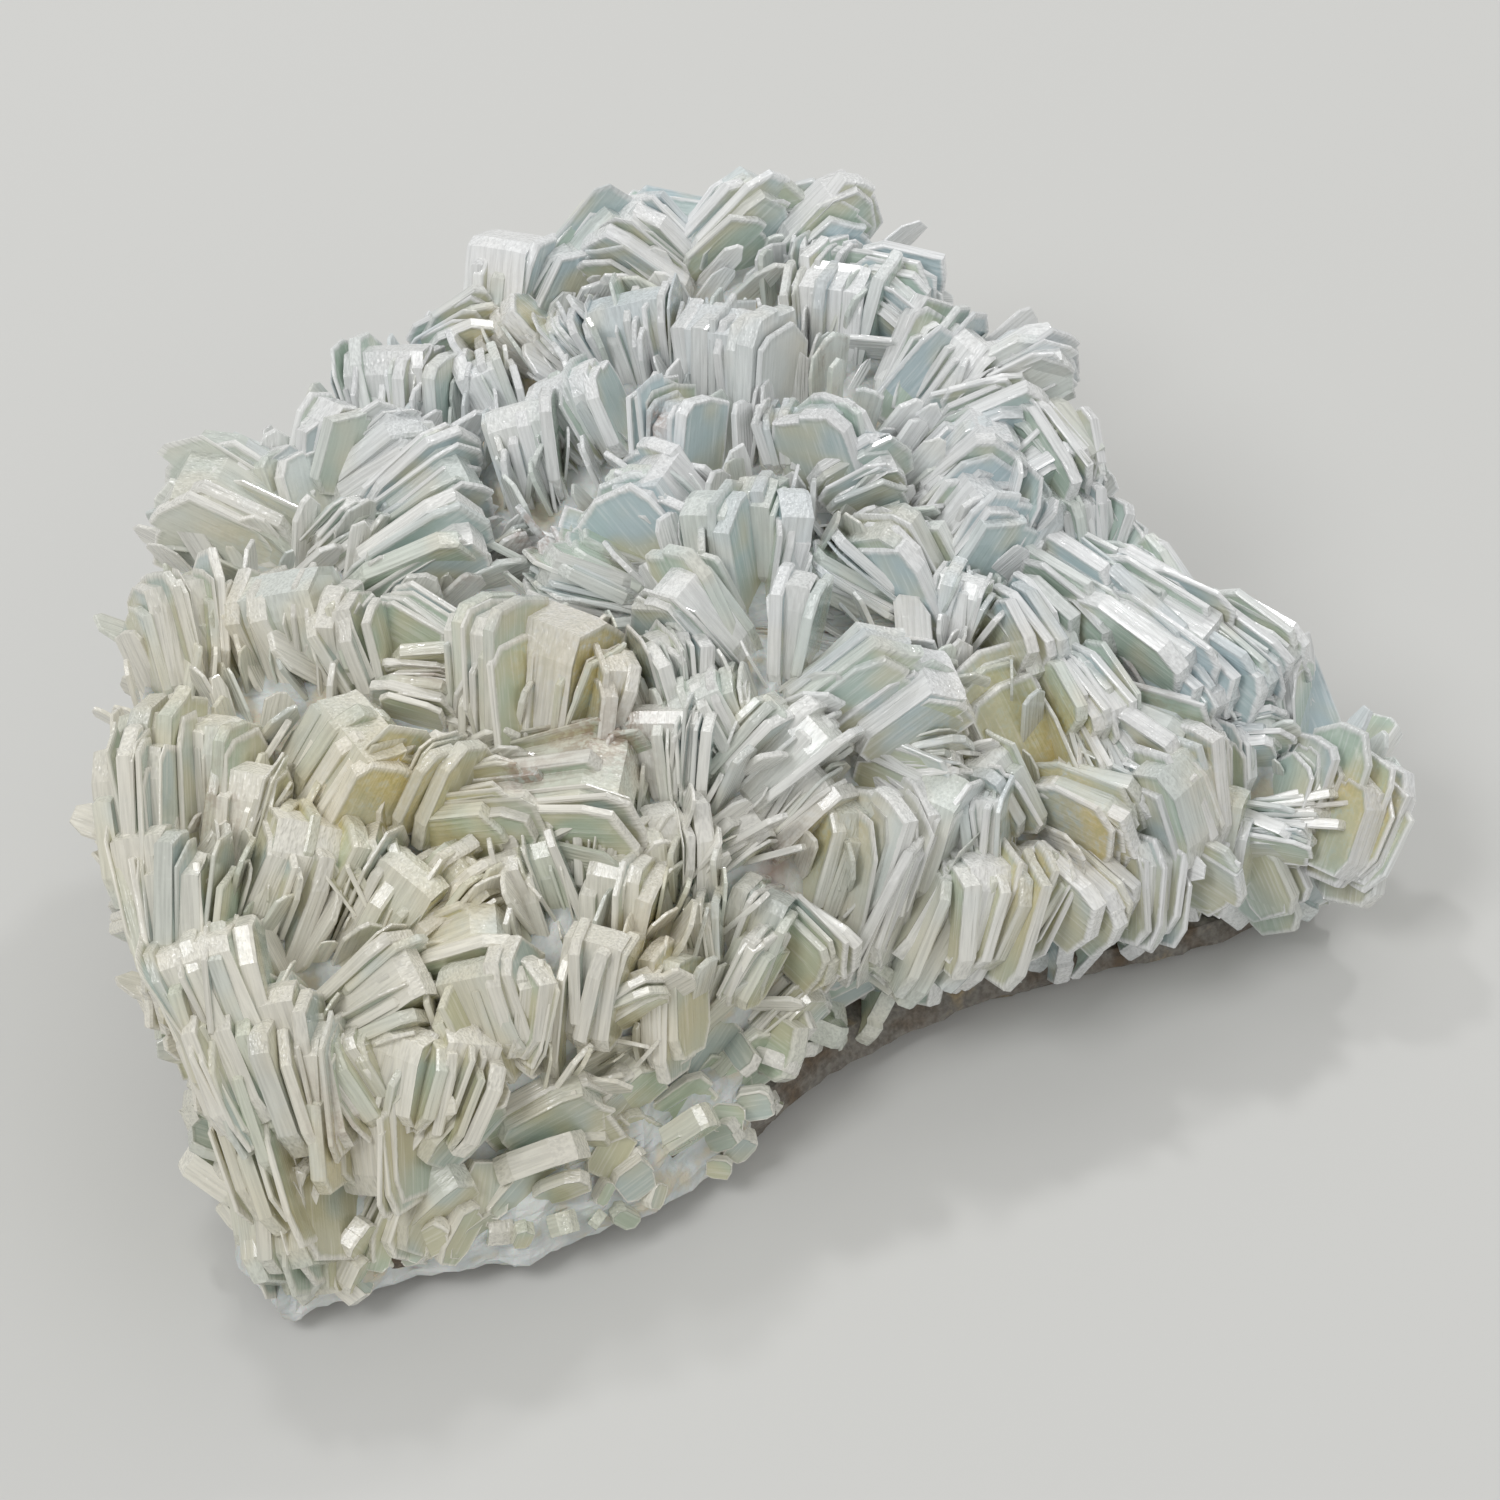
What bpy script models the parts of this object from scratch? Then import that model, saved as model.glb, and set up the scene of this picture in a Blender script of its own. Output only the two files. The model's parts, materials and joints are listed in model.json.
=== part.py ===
"""A barite crystal cluster: books of thin six-sided blades grown from one white root mass, on a
crust of the vein rock that they grew on. Metres, +Z up, resting on the rock's flat underside.

Places of blades are given as they are seen from the front, 48 degrees above the table, and are
turned into places on the cluster by seen_point().
"""

import math
import random

import bmesh
import bpy
import numpy as np
from mathutils import Vector
from mathutils.bvhtree import BVHTree

MM = 0.001

# The front view: how steeply it looks down, how far away the eye is, and the point looked at.
VIEW_TILT = math.radians(48)
EYE_DISTANCE = 500.0
LOOKED_AT = np.array([0.0, 0.0, 20.0])

# Brings the middle of the cluster's footprint to the origin.
ORIGIN_SHIFT = np.array([-2.1, -1.0, 0.0])

# The rock crust: its top is a plane that falls to the right.
CRUST_AT_MIDDLE = 6.5
CRUST_FALL = 0.07
HALF_GAP = 0.15
CRUST_INSET = 1.6
CRUST_SKIRT = 1.2

# The root mass lies this far below the tips of the blades. A blade is rooted where a corner is this
# deep in it, and one that isn't is moved this far past the nearest place of its surface.
COVER = 6.0
ROOT_DEPTH = 0.8
ROOT_REACH = 1.5

# Its brink lies this far inside the edge of the blades, and this far below their tips. The near
# wall is set back further than the others, so that stout crystals stand out from it.
NEAR_BRINK = 8.0
NEAR_COVER = 8.0
FAR_BRINK = 3.5
FAR_COVER = 4.0
CROWN_INSET = 26.0
NEAR_FOOT_INSET = 4.0
FAR_FOOT_INSET = 0.5
WAIST_INSET = 5.0
WAIST_SHARE = 0.4

# Everything narrows towards this line: its middle, and how much of a point's distance it keeps.
SPINE_MIDDLE = (-4.0, 2.0)
SPINE_REACH = (0.55, 0.1)
INSET_LIMIT = 0.85

# The space that is cut away below the crystals reaches this far. A sight line steps this far past
# each face that it crosses, and points of the joined crystals closer than this are welded.
CUT_REACH = 90.0
RAY_STEP = 0.001
WELD = 0.001

# Neighbouring blades of a book turn by this much, so that the book opens like a fan.
FAN_STEP = math.radians(5.2)
BLADE_SEED = 7
CRUST_SEED = 3

# Thin blades of a book stand as fewer, thicker ones: the stacks that take one and two of them,
# the share of the stack that is crystal, and the thickest blade.
ONE_BLADE_STACK = 7.0
TWO_BLADE_STACK = 13.0
CRYSTAL_SHARE = 0.62
THICKEST = 2.6

# Heights of the blades' tips above the table: (x, y, z).
TIP_HEIGHTS = (
    (-42, -52, 24), (-60, -20, 38), (-58, 22, 34), (-30, 40, 38), (5, 52, 42), (29, 34, 40),
    (0, 20, 44), (0, -5, 42), (-25, -10, 42), (-20, -35, 30), (5, -25, 24), (30, -12, 24),
    (40, 10, 30), (58, -3, 20), (62, -8, 14), (-50, -38, 34), (20, 0, 36),
)

# A station rules alone only within about this distance.
BLEND_RADIUS = 7.75

# The footprint on the table, anticlockwise from the near left corner: (x, y).
FOOTPRINT = (
    (-38, -51), (-30, -48), (-20, -46), (-10, -41), (-1, -34.5), (7.5, -25), (15, -19.5), (24, -16),
    (32, -13), (41, -9.5), (49, -6), (55, -3), (56, 2), (50, 7), (42, 8), (36, 13), (31, 21),
    (26, 29), (18, 35), (11, 43), (2, 47), (-10, 46), (-20, 41), (-28, 33), (-36, 25), (-46, 20),
    (-50, 10), (-51, 0), (-50, -12), (-49, -25), (-48, -37), (-45.5, -47), (-42, -52.5),
)

# The edge of the blades seen from above, point for point beside the footprint: (x, y).
BLADE_EDGE = (
    (-38, -54), (-30, -50), (-20, -46), (-10, -41), (-1, -37), (8, -29), (16, -25), (25, -22),
    (34, -19), (44, -16), (54, -11), (63, -5), (60, 1.5), (54, 10), (44, 14), (36.5, 19), (32.5, 27),
    (28.5, 34), (21, 41), (13, 52), (1, 56), (-12, 54.5), (-24, 48.5), (-34, 38), (-45, 28),
    (-55, 22), (-57.5, 12), (-58.5, 1), (-59.5, -14), (-58.5, -26), (-54, -37), (-49, -47), (-43, -53),
)

# Books of blades on the crown and the near side, as the front view shows them. Each row is the
# place of its outer rims (right, up; mm), their height where they stand on the near wall (None
# on the crown), the heading of the long axis and its lean towards the eye, the roll about that
# axis (0 shows rims alone, plus shows faces right of the heading), then a blade's length, width
# and thickness, how many blades, and their pitch.
BOOKS = (
    # West corner: large plates with a thick white edge, then a ragged thin fan.
    (-48.3, 22.3, None, 150, 10, -45, 16, 11, 2.2, 3, 3.8),
    (-54.0, 10.5, None, 100, 5, -25, 13, 8, 0.6, 7, 1.0),
    (-46.5, 10.5, None, 111, 25, 25, 14, 9, 2.0, 6, 3.0),
    (-37.5, 10.5, None, 112, 20, 25, 10, 8, 0.9, 3, 1.5),
    # North-west: ribbons that run up to the right, in three steps.
    (-34.5, 27.5, None, 38, 15, 30, 12, 9, 1.3, 3, 2.0),
    (-30.5, 24.0, None, 37, 15, 30, 12, 8, 1.2, 4, 1.9),
    (-31.0, 18.5, None, 30, 15, 40, 13, 8, 1.5, 2, 3.0),
    (-38.5, 21.0, None, 42, 20, 15, 7, 6, 0.7, 5, 1.1),
    (-39.5, 28.7, None, 75, 10, 45, 10, 7, 1.2, 2, 2.4),
    (-44.5, 26.0, None, 110, 10, 50, 8, 7, 1.2, 2, 2.2),
    (-33.5, 34.0, None, 98, 20, 20, 10, 7, 1.2, 6, 1.5),
    (-28.0, 41.0, None, 30, 10, 40, 9, 7, 0.8, 3, 1.2),
    (-23.5, 45.5, None, 84, 10, 30, 11, 8, 1.3, 4, 1.9),
    (-24.5, 33.8, None, 117, 15, 10, 8, 6, 0.9, 2, 2.2),
    (-21.0, 28.0, None, 108, 20, 10, 12, 6, 0.8, 4, 1.5),
    (-20.5, 38.0, None, 142, 20, 25, 10, 7, 1.2, 3, 2.0),
    # Far edge, from left to right.
    (-17.0, 50.5, None, 50, 10, 45, 11, 8, 1.0, 3, 1.7),
    (-8.5, 51.5, None, 172, 5, 62, 13, 8, 1.2, 2, 2.2),
    (-17.5, 44.0, None, 60, 15, 50, 9, 7, 1.0, 2, 2.5),
    (-10.0, 46.5, None, 142, 20, -35, 11, 8, 1.1, 5, 1.8),
    (-13.0, 46.0, None, 158, 20, -40, 8, 8, 1.4, 2, 2.0),
    (7.0, 49.5, None, 44, 12, 50, 12, 8, 1.6, 2, 2.6),
    (-1.5, 49.5, None, 45, 12, 40, 12, 8, 0.8, 5, 1.2),
    (2.5, 53.0, None, 8, 5, 60, 12, 7, 1.3, 2, 2.0),
    (8.0, 40.5, None, 88, 20, 20, 14, 8, 1.0, 6, 1.3),
    (6.8, 46.0, None, 95, 20, 40, 7, 6, 1.1, 2, 1.2),
    (13.5, 45.0, None, -14, 5, 58, 10, 7, 1.4, 2, 2.0),
    (15.5, 41.0, None, -42, 10, 20, 10, 7, 0.9, 3, 1.6),
    (16.0, 37.0, None, 60, -5, 55, 11, 7, 1.0, 2, 2.2),
    # Crown, left of the middle.
    (-17.0, 37.0, None, 138, 20, 20, 10, 7, 1.2, 3, 1.8),
    (-16.0, 32.0, None, 122, 20, 25, 10, 7, 1.0, 5, 1.5),
    (-10.5, 38.5, None, 108, 20, 20, 12, 7, 0.8, 6, 1.4),
    (-7.0, 31.0, None, 92, 15, 40, 10, 7, 1.0, 3, 2.0),
    (-16.0, 17.3, None, 162, 15, 15, 11, 7, 0.9, 5, 1.3),
    (-14.5, 21.0, None, 168, 12, 40, 10, 7, 1.1, 3, 1.7),
    (-10.0, 22.5, None, 125, 20, -62, 10, 8, 1.2, 2, 2.4),
    # Crown: white ribbons behind the middle, and the standing fan in it.
    (-1.5, 36.5, None, 92, 20, 35, 13, 8, 1.4, 4, 2.5),
    (3.5, 32.0, None, 97, 20, 15, 7, 6, 0.8, 4, 1.2),
    (7.3, 30.0, None, 110, 25, -50, 10, 8, 1.7, 2, 2.4),
    (11.0, 27.5, None, 32, 10, 30, 9, 7, 0.9, 4, 1.4),
    (-2.6, 19.0, None, 99, 25, 25, 14, 9, 1.5, 2, 2.6),
    (1.2, 21.0, None, 95, 25, 22, 12, 8, 1.3, 2, 2.2),
    (3.2, 20.0, None, 80, 25, -20, 12, 8, 1.3, 2, 1.8),
    (4.3, 11.5, None, 84, 25, 12, 13, 7, 1.1, 2, 1.6),
    (-8.5, 23.5, None, 133, 25, -30, 9, 9, 1.3, 3, 2.3),
    (-5.0, 12.0, None, 130, 25, -25, 13, 8, 1.0, 4, 1.6),
    # Crown, right of the middle: broad plates that lean to the right.
    (19.0, 34.8, None, 52, 15, 18, 12, 7, 0.8, 5, 1.2),
    (26.5, 37.0, None, 30, 15, 42, 10, 8, 2.4, 2, 3.0),
    (23.0, 32.5, None, 20, 15, 38, 9, 7, 1.2, 3, 2.0),
    (20.5, 26.5, None, 42, 15, 55, 14, 9, 2.4, 2, 3.5),
    (20.5, 20.5, None, 50, 20, 42, 13, 9, 1.5, 3, 2.8),
    (13.5, 17.0, None, 118, 25, -48, 13, 10, 1.3, 3, 2.2),
    (9.5, 17.5, None, 152, 20, 15, 10, 7, 0.8, 4, 1.1),
    (20.5, 14.5, None, 78, 25, 15, 8, 6, 1.2, 3, 1.9),
    (30.5, 30.0, None, -52, 15, 25, 10, 7, 1.4, 4, 1.6),
    (33.6, 29.0, None, -75, 10, 45, 7, 6, 1.3, 2, 1.6),
    (26.0, 21.0, None, 60, 20, -38, 11, 8, 1.5, 2, 2.6),
    (27.5, 27.5, None, 35, 15, 30, 8, 6, 1.1, 3, 1.7),
    (31.8, 22.0, None, 100, 20, -25, 8, 6, 1.0, 4, 1.5),
    (36.5, 21.5, None, 65, 10, -42, 7, 6, 1.4, 2, 1.6),
    # Right arm: long stacks that fall to the right.
    (31.0, 15.8, None, -32, 15, 35, 12, 8, 1.4, 3, 2.0),
    (37.5, 15.3, None, -28, 15, 35, 10, 8, 1.5, 2, 2.6),
    (40.5, 15.6, None, -58, 15, 38, 9, 6, 1.2, 2, 2.0),
    (39.5, 11.8, None, -32, 15, 35, 13, 9, 1.3, 4, 1.9),
    (33.0, 12.2, None, -48, 20, 38, 9, 8, 1.2, 2, 2.2),
    (48.0, 10.0, None, -35, 15, 38, 11, 8, 1.7, 3, 2.4),
    (43.5, 6.5, None, -45, 20, 48, 10, 8, 1.5, 3, 2.4),
    (27.8, 11.8, None, -55, 20, 35, 9, 7, 1.3, 4, 1.9),
    (45.0, 13.2, None, 152, -5, 70, 11, 8, 1.3, 2, 2.0),
    (51.3, 7.3, None, 118, -5, 66, 14, 8, 1.3, 2, 2.0),
    (51.5, 4.5, None, 100, 10, 30, 9, 6, 1.0, 4, 1.3),
    (24.5, 4.0, None, 120, 20, 66, 11, 9, 1.3, 2, 2.4),
    (31.8, 4.8, None, -57, 20, 30, 10, 8, 1.5, 3, 1.9),
    (32.5, -1.0, None, -62, 20, 20, 10, 6, 0.9, 4, 1.5),
    (38.5, 1.5, None, -22, 15, 35, 10, 8, 1.1, 3, 1.9),
    (40.3, -5.0, None, 108, 25, -42, 12, 9, 1.5, 3, 2.6),
    (45.3, -1.5, None, 92, 20, -56, 8, 6, 1.3, 2, 2.2),
    (32.0, -5.5, None, -22, 20, 40, 11, 8, 1.1, 3, 1.9),
    (48.5, 1.8, None, 8, 15, 30, 7, 5, 0.9, 4, 1.1),
    # Left end: long blades seen from the side, rising from the near corner.
    (-58.8, -6.3, None, 95, 5, 15, 14, 8, 2.0, 3, 2.4),
    (-55.5, -2.5, None, 95, 5, 20, 14, 8, 1.6, 3, 2.0),
    (-50.5, -3.0, None, 90, 10, 30, 14, 8, 2.2, 2, 3.0),
    (-53.5, -15.5, None, 92, 5, 15, 13, 7, 1.3, 3, 1.9),
    (-47.5, -7.5, None, 82, 10, 15, 14, 7, 1.0, 4, 1.6),
    (-57.8, -14.0, None, 99, 0, 20, 13, 7, 1.3, 3, 1.9),
    (-43.8, -12.0, None, 68, 15, -30, 14, 8, 1.8, 3, 2.8),
    (-38.0, -2.0, None, 58, 20, 40, 14, 9, 1.7, 3, 3.5),
    (-30.5, -3.0, None, 63, 20, 25, 10, 7, 1.0, 4, 1.4),
    (-36.5, -11.5, None, 115, 20, 12, 7, 6, 1.0, 3, 1.5),
    (-31.0, 12.0, None, -35, 15, 55, 9, 7, 1.0, 2, 2.5),
    (-31.5, 8.0, None, -5, 10, 25, 8, 6, 0.7, 5, 1.3),
    # Left of the middle: tall six-sided blades, flat ones under them, and narrow sheaves.
    (-24.0, 7.5, None, 93, 20, 35, 14, 9, 2.1, 2, 3.6),
    (-18.0, 6.5, None, 82, 20, 33, 16, 10, 1.9, 3, 2.8),
    (-14.8, 4.0, None, 78, 20, -28, 13, 8, 1.1, 2, 1.8),
    (-17.5, -4.5, None, 8, 20, 45, 15, 10, 1.4, 4, 2.2),
    (-25.0, -6.5, None, 8, 20, 48, 11, 8, 1.4, 3, 2.4),
    (-34.0, -16.0, None, 58, 25, 15, 15, 7, 1.1, 4, 1.7),
    (-29.0, -14.5, None, 48, 25, 15, 12, 7, 1.1, 4, 1.8),
    (-35.5, -23.5, None, 36, 20, 20, 13, 7, 1.3, 4, 1.7),
    (-27.0, -18.5, None, 22, 20, 40, 10, 8, 1.3, 2, 2.3),
    (-22.5, -14.5, None, 113, 25, 12, 12, 7, 1.4, 3, 1.8),
    (-18.8, -12.5, None, 110, 25, 12, 13, 7, 1.1, 3, 1.4),
    # Middle of the near half.
    (-7.8, 7.5, None, 97, 20, -20, 10, 7, 1.0, 3, 1.4),
    (-7.5, 0.0, None, 95, 20, 15, 10, 6, 0.8, 6, 1.2),
    (-0.3, 4.2, None, 105, 25, 12, 6, 6, 1.2, 2, 1.2),
    (-4.0, 3.5, None, 120, 20, 15, 8, 6, 0.9, 4, 1.4),
    (-0.5, 0.7, None, 45, 15, 12, 12, 8, 1.5, 2, 1.6),
    (3.5, -1.2, None, 45, 15, 12, 13, 8, 1.6, 3, 1.65),
    (4.0, -5.0, None, 50, 20, 15, 10, 6, 1.0, 3, 1.6),
    (-1.5, -8.5, None, 40, 15, 15, 8, 6, 0.9, 4, 1.2),
    (10.0, 6.5, None, 38, 15, 48, 14, 9, 2.0, 2, 2.6),
    (15.0, 4.0, None, 36, 15, 42, 13, 9, 1.3, 3, 2.4),
    (18.0, -0.2, None, 12, 15, 20, 8, 6, 0.7, 5, 0.9),
    (14.5, -3.0, None, -25, 15, 55, 9, 7, 1.2, 2, 2.2),
    (8.2, -9.0, None, 72, 25, -38, 13, 9, 1.4, 2, 3.4),
    (12.0, -9.5, None, 72, 25, -45, 13, 9, 2.0, 2, 3.0),
    (15.2, -13.5, None, 69, 20, 15, 16, 9, 3.3, 1, 4.0),
    (18.5, -11.0, None, 75, 25, 20, 15, 8, 1.5, 3, 1.9),
    (23.5, -3.5, None, 118, 25, -30, 8, 7, 1.3, 3, 1.6),
    (23.0, -8.0, None, 92, 25, 20, 10, 7, 1.3, 3, 1.7),
    (0.8, -17.0, None, 72, 25, 12, 10, 7, 1.6, 3, 1.7),
    (-4.5, -17.5, None, 98, 25, 12, 7, 6, 1.0, 2, 1.5),
    (-8.5, -12.0, None, 92, 25, -20, 17, 9, 1.4, 2, 2.0),
    (-12.0, -15.0, None, 88, 25, 20, 13, 8, 1.6, 3, 1.9),
    (-6.0, -9.5, None, 90, 20, 15, 10, 7, 1.3, 2, 1.7),
    (-13.5, -9.5, None, 85, 20, 25, 8, 7, 0.9, 4, 1.2),
    (7.5, -19.5, None, -42, 20, 42, 9, 7, 1.1, 2, 2.0),
    (-14.8, -23.5, None, 82, 25, 15, 13, 7, 1.2, 4, 1.5),
    (-22.0, -25.0, None, 85, 20, -38, 10, 7, 1.1, 2, 2.2),
    (-9.0, -25.5, None, 32, 20, 20, 7, 6, 1.0, 3, 1.2),
    (-4.0, -25.0, None, 92, 15, 30, 11, 8, 1.3, 3, 1.9),
    (2.5, -22.0, None, 62, 20, 20, 8, 6, 1.1, 3, 1.5),
    # Near corner: blades that spread from the white root.
    (-51.5, -24.0, None, 112, 15, 15, 13, 8, 1.5, 5, 1.8),
    (-46.0, -29.0, None, 108, 15, 15, 13, 8, 1.6, 5, 1.8),
    (-50.5, -32.0, 28, 112, 5, 25, 12, 8, 1.6, 3, 2.2),
    (-43.0, -34.5, 26, 100, 15, 15, 13, 8, 1.7, 4, 2.0),
    (-38.0, -31.0, None, 122, 20, 20, 9, 7, 1.3, 3, 1.7),
    (-33.0, -30.0, 24, 80, 20, 28, 10, 7, 1.4, 4, 1.8),
    (-28.5, -30.5, 24, 70, 20, -32, 10, 7, 1.5, 3, 2.0),
    (-25.0, -25.0, None, 112, 20, 28, 11, 7, 1.5, 3, 2.2),
    # Near wall, left to right.
    (-28.5, -35.5, 19, 48, 10, 30, 10, 8, 1.9, 3, 2.5),
    (-35.0, -37.0, 18, 95, 10, 30, 10, 8, 1.9, 2, 3.0),
    (-19.0, -33.5, 16, 28, 10, 38, 11, 9, 2.1, 2, 3.2),
    (-12.0, -31.0, 15, 42, 10, 28, 9, 8, 1.9, 2, 2.6),
    (4.5, -26.5, 14, 48, 15, 25, 10, 7, 1.5, 3, 1.9),
    (12.0, -23.0, 14, 30, 10, 48, 8, 7, 1.4, 2, 2.0),
    (19.5, -18.0, 18, 60, 15, -25, 12, 8, 1.3, 4, 1.9),
    (23.5, -14.5, 22, 78, 20, -32, 12, 9, 1.6, 3, 2.8),
    (27.7, -14.0, 20, 62, 15, -38, 10, 8, 1.6, 3, 2.0),
    (33.2, -14.3, 18, -42, 15, 38, 10, 8, 1.6, 2, 2.6),
    (38.3, -14.3, 17, 88, 15, -42, 10, 8, 1.7, 2, 2.6),
    (43.5, -13.3, 16, -33, 10, 50, 12, 8, 1.7, 1, 2.0),
    (50.0, -13.0, 10, 115, 10, -55, 8, 6, 1.4, 2, 1.8),
    (55.5, -13.6, 6, -10, 10, 38, 5, 5, 1.6, 2, 1.9),
    (46.3, -9.5, 18, 80, 20, 15, 8, 6, 1.0, 4, 1.5),
    (51.0, -8.0, 16, -3, 10, 28, 8, 6, 0.8, 4, 1.3),
    (59.3, -6.3, 17, 72, 10, -50, 11, 8, 1.5, 4, 2.0),
    (54.7, -3.0, 20, 70, 15, -42, 8, 6, 1.1, 3, 1.6),
    (60.4, -8.0, 12, 75, 5, -50, 10, 7, 1.5, 2, 2.0),
    (29.5, -20.5, 6, -15, 10, 45, 6, 5, 1.4, 1, 2.0),
    # Stout crystals low on the near wall, down to the near corner.
    (-46.0, -38.5, 18, 108, 0, 22, 12, 9, 2.4, 2, 3.2),
    (-43.5, -43.5, 13, 98, -5, 25, 12, 9, 2.6, 2, 3.6),
    (-40.5, -47.5, 8, 80, 0, 32, 9, 8, 2.4, 2, 3.0),
    (-31.5, -44.0, 10, 65, 0, 42, 10, 8, 2.4, 2, 3.2),
    (-22.0, -42.0, 9, 50, 0, 48, 11, 8, 2.4, 2, 3.2),
    (-12.5, -38.0, 9, 45, 0, 48, 10, 8, 2.2, 2, 3.2),
    (-3.5, -33.0, 9, 50, 0, 45, 9, 7, 2.0, 2, 3.0),
)

# Finding where a sight line meets the crown: a first height, and how far each round corrects it.
CROWN_GUESS = 36.0
CROWN_STEP = 0.6
CROWN_ROUNDS = 20

# How deep behind its outer rims the middle of a book lies, as a share of the book's depth: on
# the crown, on the near wall, and less within this distance of the far edge.
CROWN_DEPTH = 0.85
WALL_DEPTH = 0.3
FAR_ZONE = 14.0

# Blades on the far walls, out of the front view, at these points of the outlines above. Two tiers
# of tips, each a height and a share of the way from footprint to edge; and a blade's length, width
# and thickness. They fan out from a point, and differ in rise, swing and roll by these degrees.
FAR_EDGE_FIRST = 11
FAR_EDGE_LAST = 31
FAR_TIERS = ((17.0, 0.35), (29.0, 0.8))
FAR_BLADE = (15.0, 9.0, 1.8)
FAR_MIDDLE = (-4.0, 4.0)
FAR_RISE = (15, 45)
FAR_SWING = 22
FAR_ROLL = 60
FAR_TIP_MARGIN = 2.0

# How much blades of one book differ: length as a share, and a slide along it.
LENGTH_SPREAD = (0.92, 1.06)
SLIDE_SPREAD = 0.05

# The six-sided blade's half widths at root and tip, and its widest place, as shares.
ROOT_HALF = (0.22, 0.32)
TIP_HALF = (0.16, 0.3)
BELLY = (0.12, 0.24)

# How rough the rock's wall is, ring by ring: further inset, and the middle ring's height.
CRUST_FOOT_SPREAD = (0.0, 1.2)
CRUST_WAIST_SPREAD = (-0.4, 0.8)
CRUST_TOP_SPREAD = (-0.4, 0.6)
CRUST_WAIST_HEIGHT = (0.4, 0.6)


def seen_point(right, up, height):
    """The point at this height above the table that the front view shows at (right, up)."""
    right_axis, up_axis, toward = view_axes()
    eye = LOOKED_AT + toward * EYE_DISTANCE
    ray = (right_axis * right + up_axis * up) / EYE_DISTANCE - toward
    return eye + ray * (height - eye[2]) / ray[2]


def view_axes():
    """Right, up and towards the eye, in the front view."""
    right = np.array([1.0, 0.0, 0.0])
    up = np.array([0.0, math.sin(VIEW_TILT), math.cos(VIEW_TILT)])
    toward = np.array([0.0, -math.cos(VIEW_TILT), math.sin(VIEW_TILT)])
    return right, up, toward


def tip_height(x, y):
    """Height of the blades' tips over a point of the table, blended from TIP_HEIGHTS."""
    stations = np.array(TIP_HEIGHTS, float)
    square = (stations[:, 0] - x) ** 2 + (stations[:, 1] - y) ** 2
    nearness = 1.0 / (square + BLEND_RADIUS ** 2) ** 2
    return float((nearness * stations[:, 2]).sum() / nearness.sum())


def crown_point(right, up):
    """Where the front view's ray meets the crown of tips."""
    height = CROWN_GUESS
    for _ in range(CROWN_ROUNDS):
        place = seen_point(right, up, height)
        height += CROWN_STEP * (tip_height(place[0], place[1]) - height)
    return seen_point(right, up, height)


def crust_height(x):
    """Height of the plane where the crystals part from the rock."""
    return CRUST_AT_MIDDLE - CRUST_FALL * x


def blade_outline(long, wide, rng):
    """A six-sided blade, narrow at the root and broadest past its middle: (along, across)."""
    root = wide * rng.uniform(*ROOT_HALF)
    tip = wide * rng.uniform(*TIP_HALF)
    belly = long * rng.uniform(*BELLY)
    half = wide / 2
    return (
        (-long / 2, -root), (belly, -half), (long / 2, -tip),
        (long / 2, tip), (belly, half), (-long / 2, root),
    )


def spine_at(x):
    """The point of the middle line that things at this x narrow towards."""
    return np.array(SPINE_MIDDLE) + np.array(SPINE_REACH) * (x - SPINE_MIDDLE[0])


def is_inside(point, mass):
    """Whether a line straight up from the point leaves the root mass once more than it enters."""
    up = Vector((0.0, 0.0, 1.0))
    crossings = 0
    place = point
    while place is not None:
        place = mass.ray_cast(place + up * RAY_STEP, up)[0]
        crossings += place is not None
    return crossings % 2 == 1


def rooting_move(corners, mass):
    """The shortest move that roots one of these corners in the mass, none where one is rooted."""
    moves = []
    for corner in corners:
        place, _, _, distance = mass.find_nearest(Vector(corner))
        if distance >= ROOT_DEPTH and is_inside(Vector(corner), mass):
            return np.zeros(3)
        inward = Vector((*spine_at(place.x), place.z / 2)) - place
        root = place + inward.normalized() * ROOT_REACH
        if is_inside(root, mass):
            moves.append(np.array(root) - corner)
    return min(moves, key=np.linalg.norm)


def add_blade(mesh, mass, centre, along, across, normal, outline, thick):
    """Adds one closed blade to the mesh, in millimetres, rooted in the mass."""
    middles = [centre + along * a + across * w for a, w in outline]
    move = rooting_move(middles, mass)
    low = []
    high = []
    for middle in middles:
        low.append(mesh.verts.new(Vector(middle + move - normal * thick / 2)))
        high.append(mesh.verts.new(Vector(middle + move + normal * thick / 2)))
    count = len(outline)
    mesh.faces.new(reversed(low))
    mesh.faces.new(high)
    for i in range(count):
        j = (i + 1) % count
        mesh.faces.new((low[i], low[j], high[j], high[i]))


def book_axes(heading, lean, roll):
    """Long axis, width axis (towards the eye) and normal of a book seen from the front."""
    right, up, toward = view_axes()
    heading, lean, roll = (math.radians(a) for a in (heading, lean, roll))
    flat = math.cos(heading) * right + math.sin(heading) * up
    along = math.cos(lean) * flat + math.sin(lean) * toward
    side = math.sin(heading) * right - math.cos(heading) * up
    depth = math.cos(lean) * toward - math.sin(lean) * flat
    across = math.cos(roll) * depth - math.sin(roll) * side
    normal = math.cos(roll) * side + math.sin(roll) * depth
    return along, across, normal


def solid_blades(thick, count, pitch):
    """How many blades stand for a book's thin ones in the solid, with their thickness and pitch."""
    stack = (count - 1) * pitch + thick
    shown = 1 if stack < ONE_BLADE_STACK else 2 if stack < TWO_BLADE_STACK else 3
    return shown, min(CRYSTAL_SHARE * stack / shown, THICKEST), stack / shown


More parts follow.
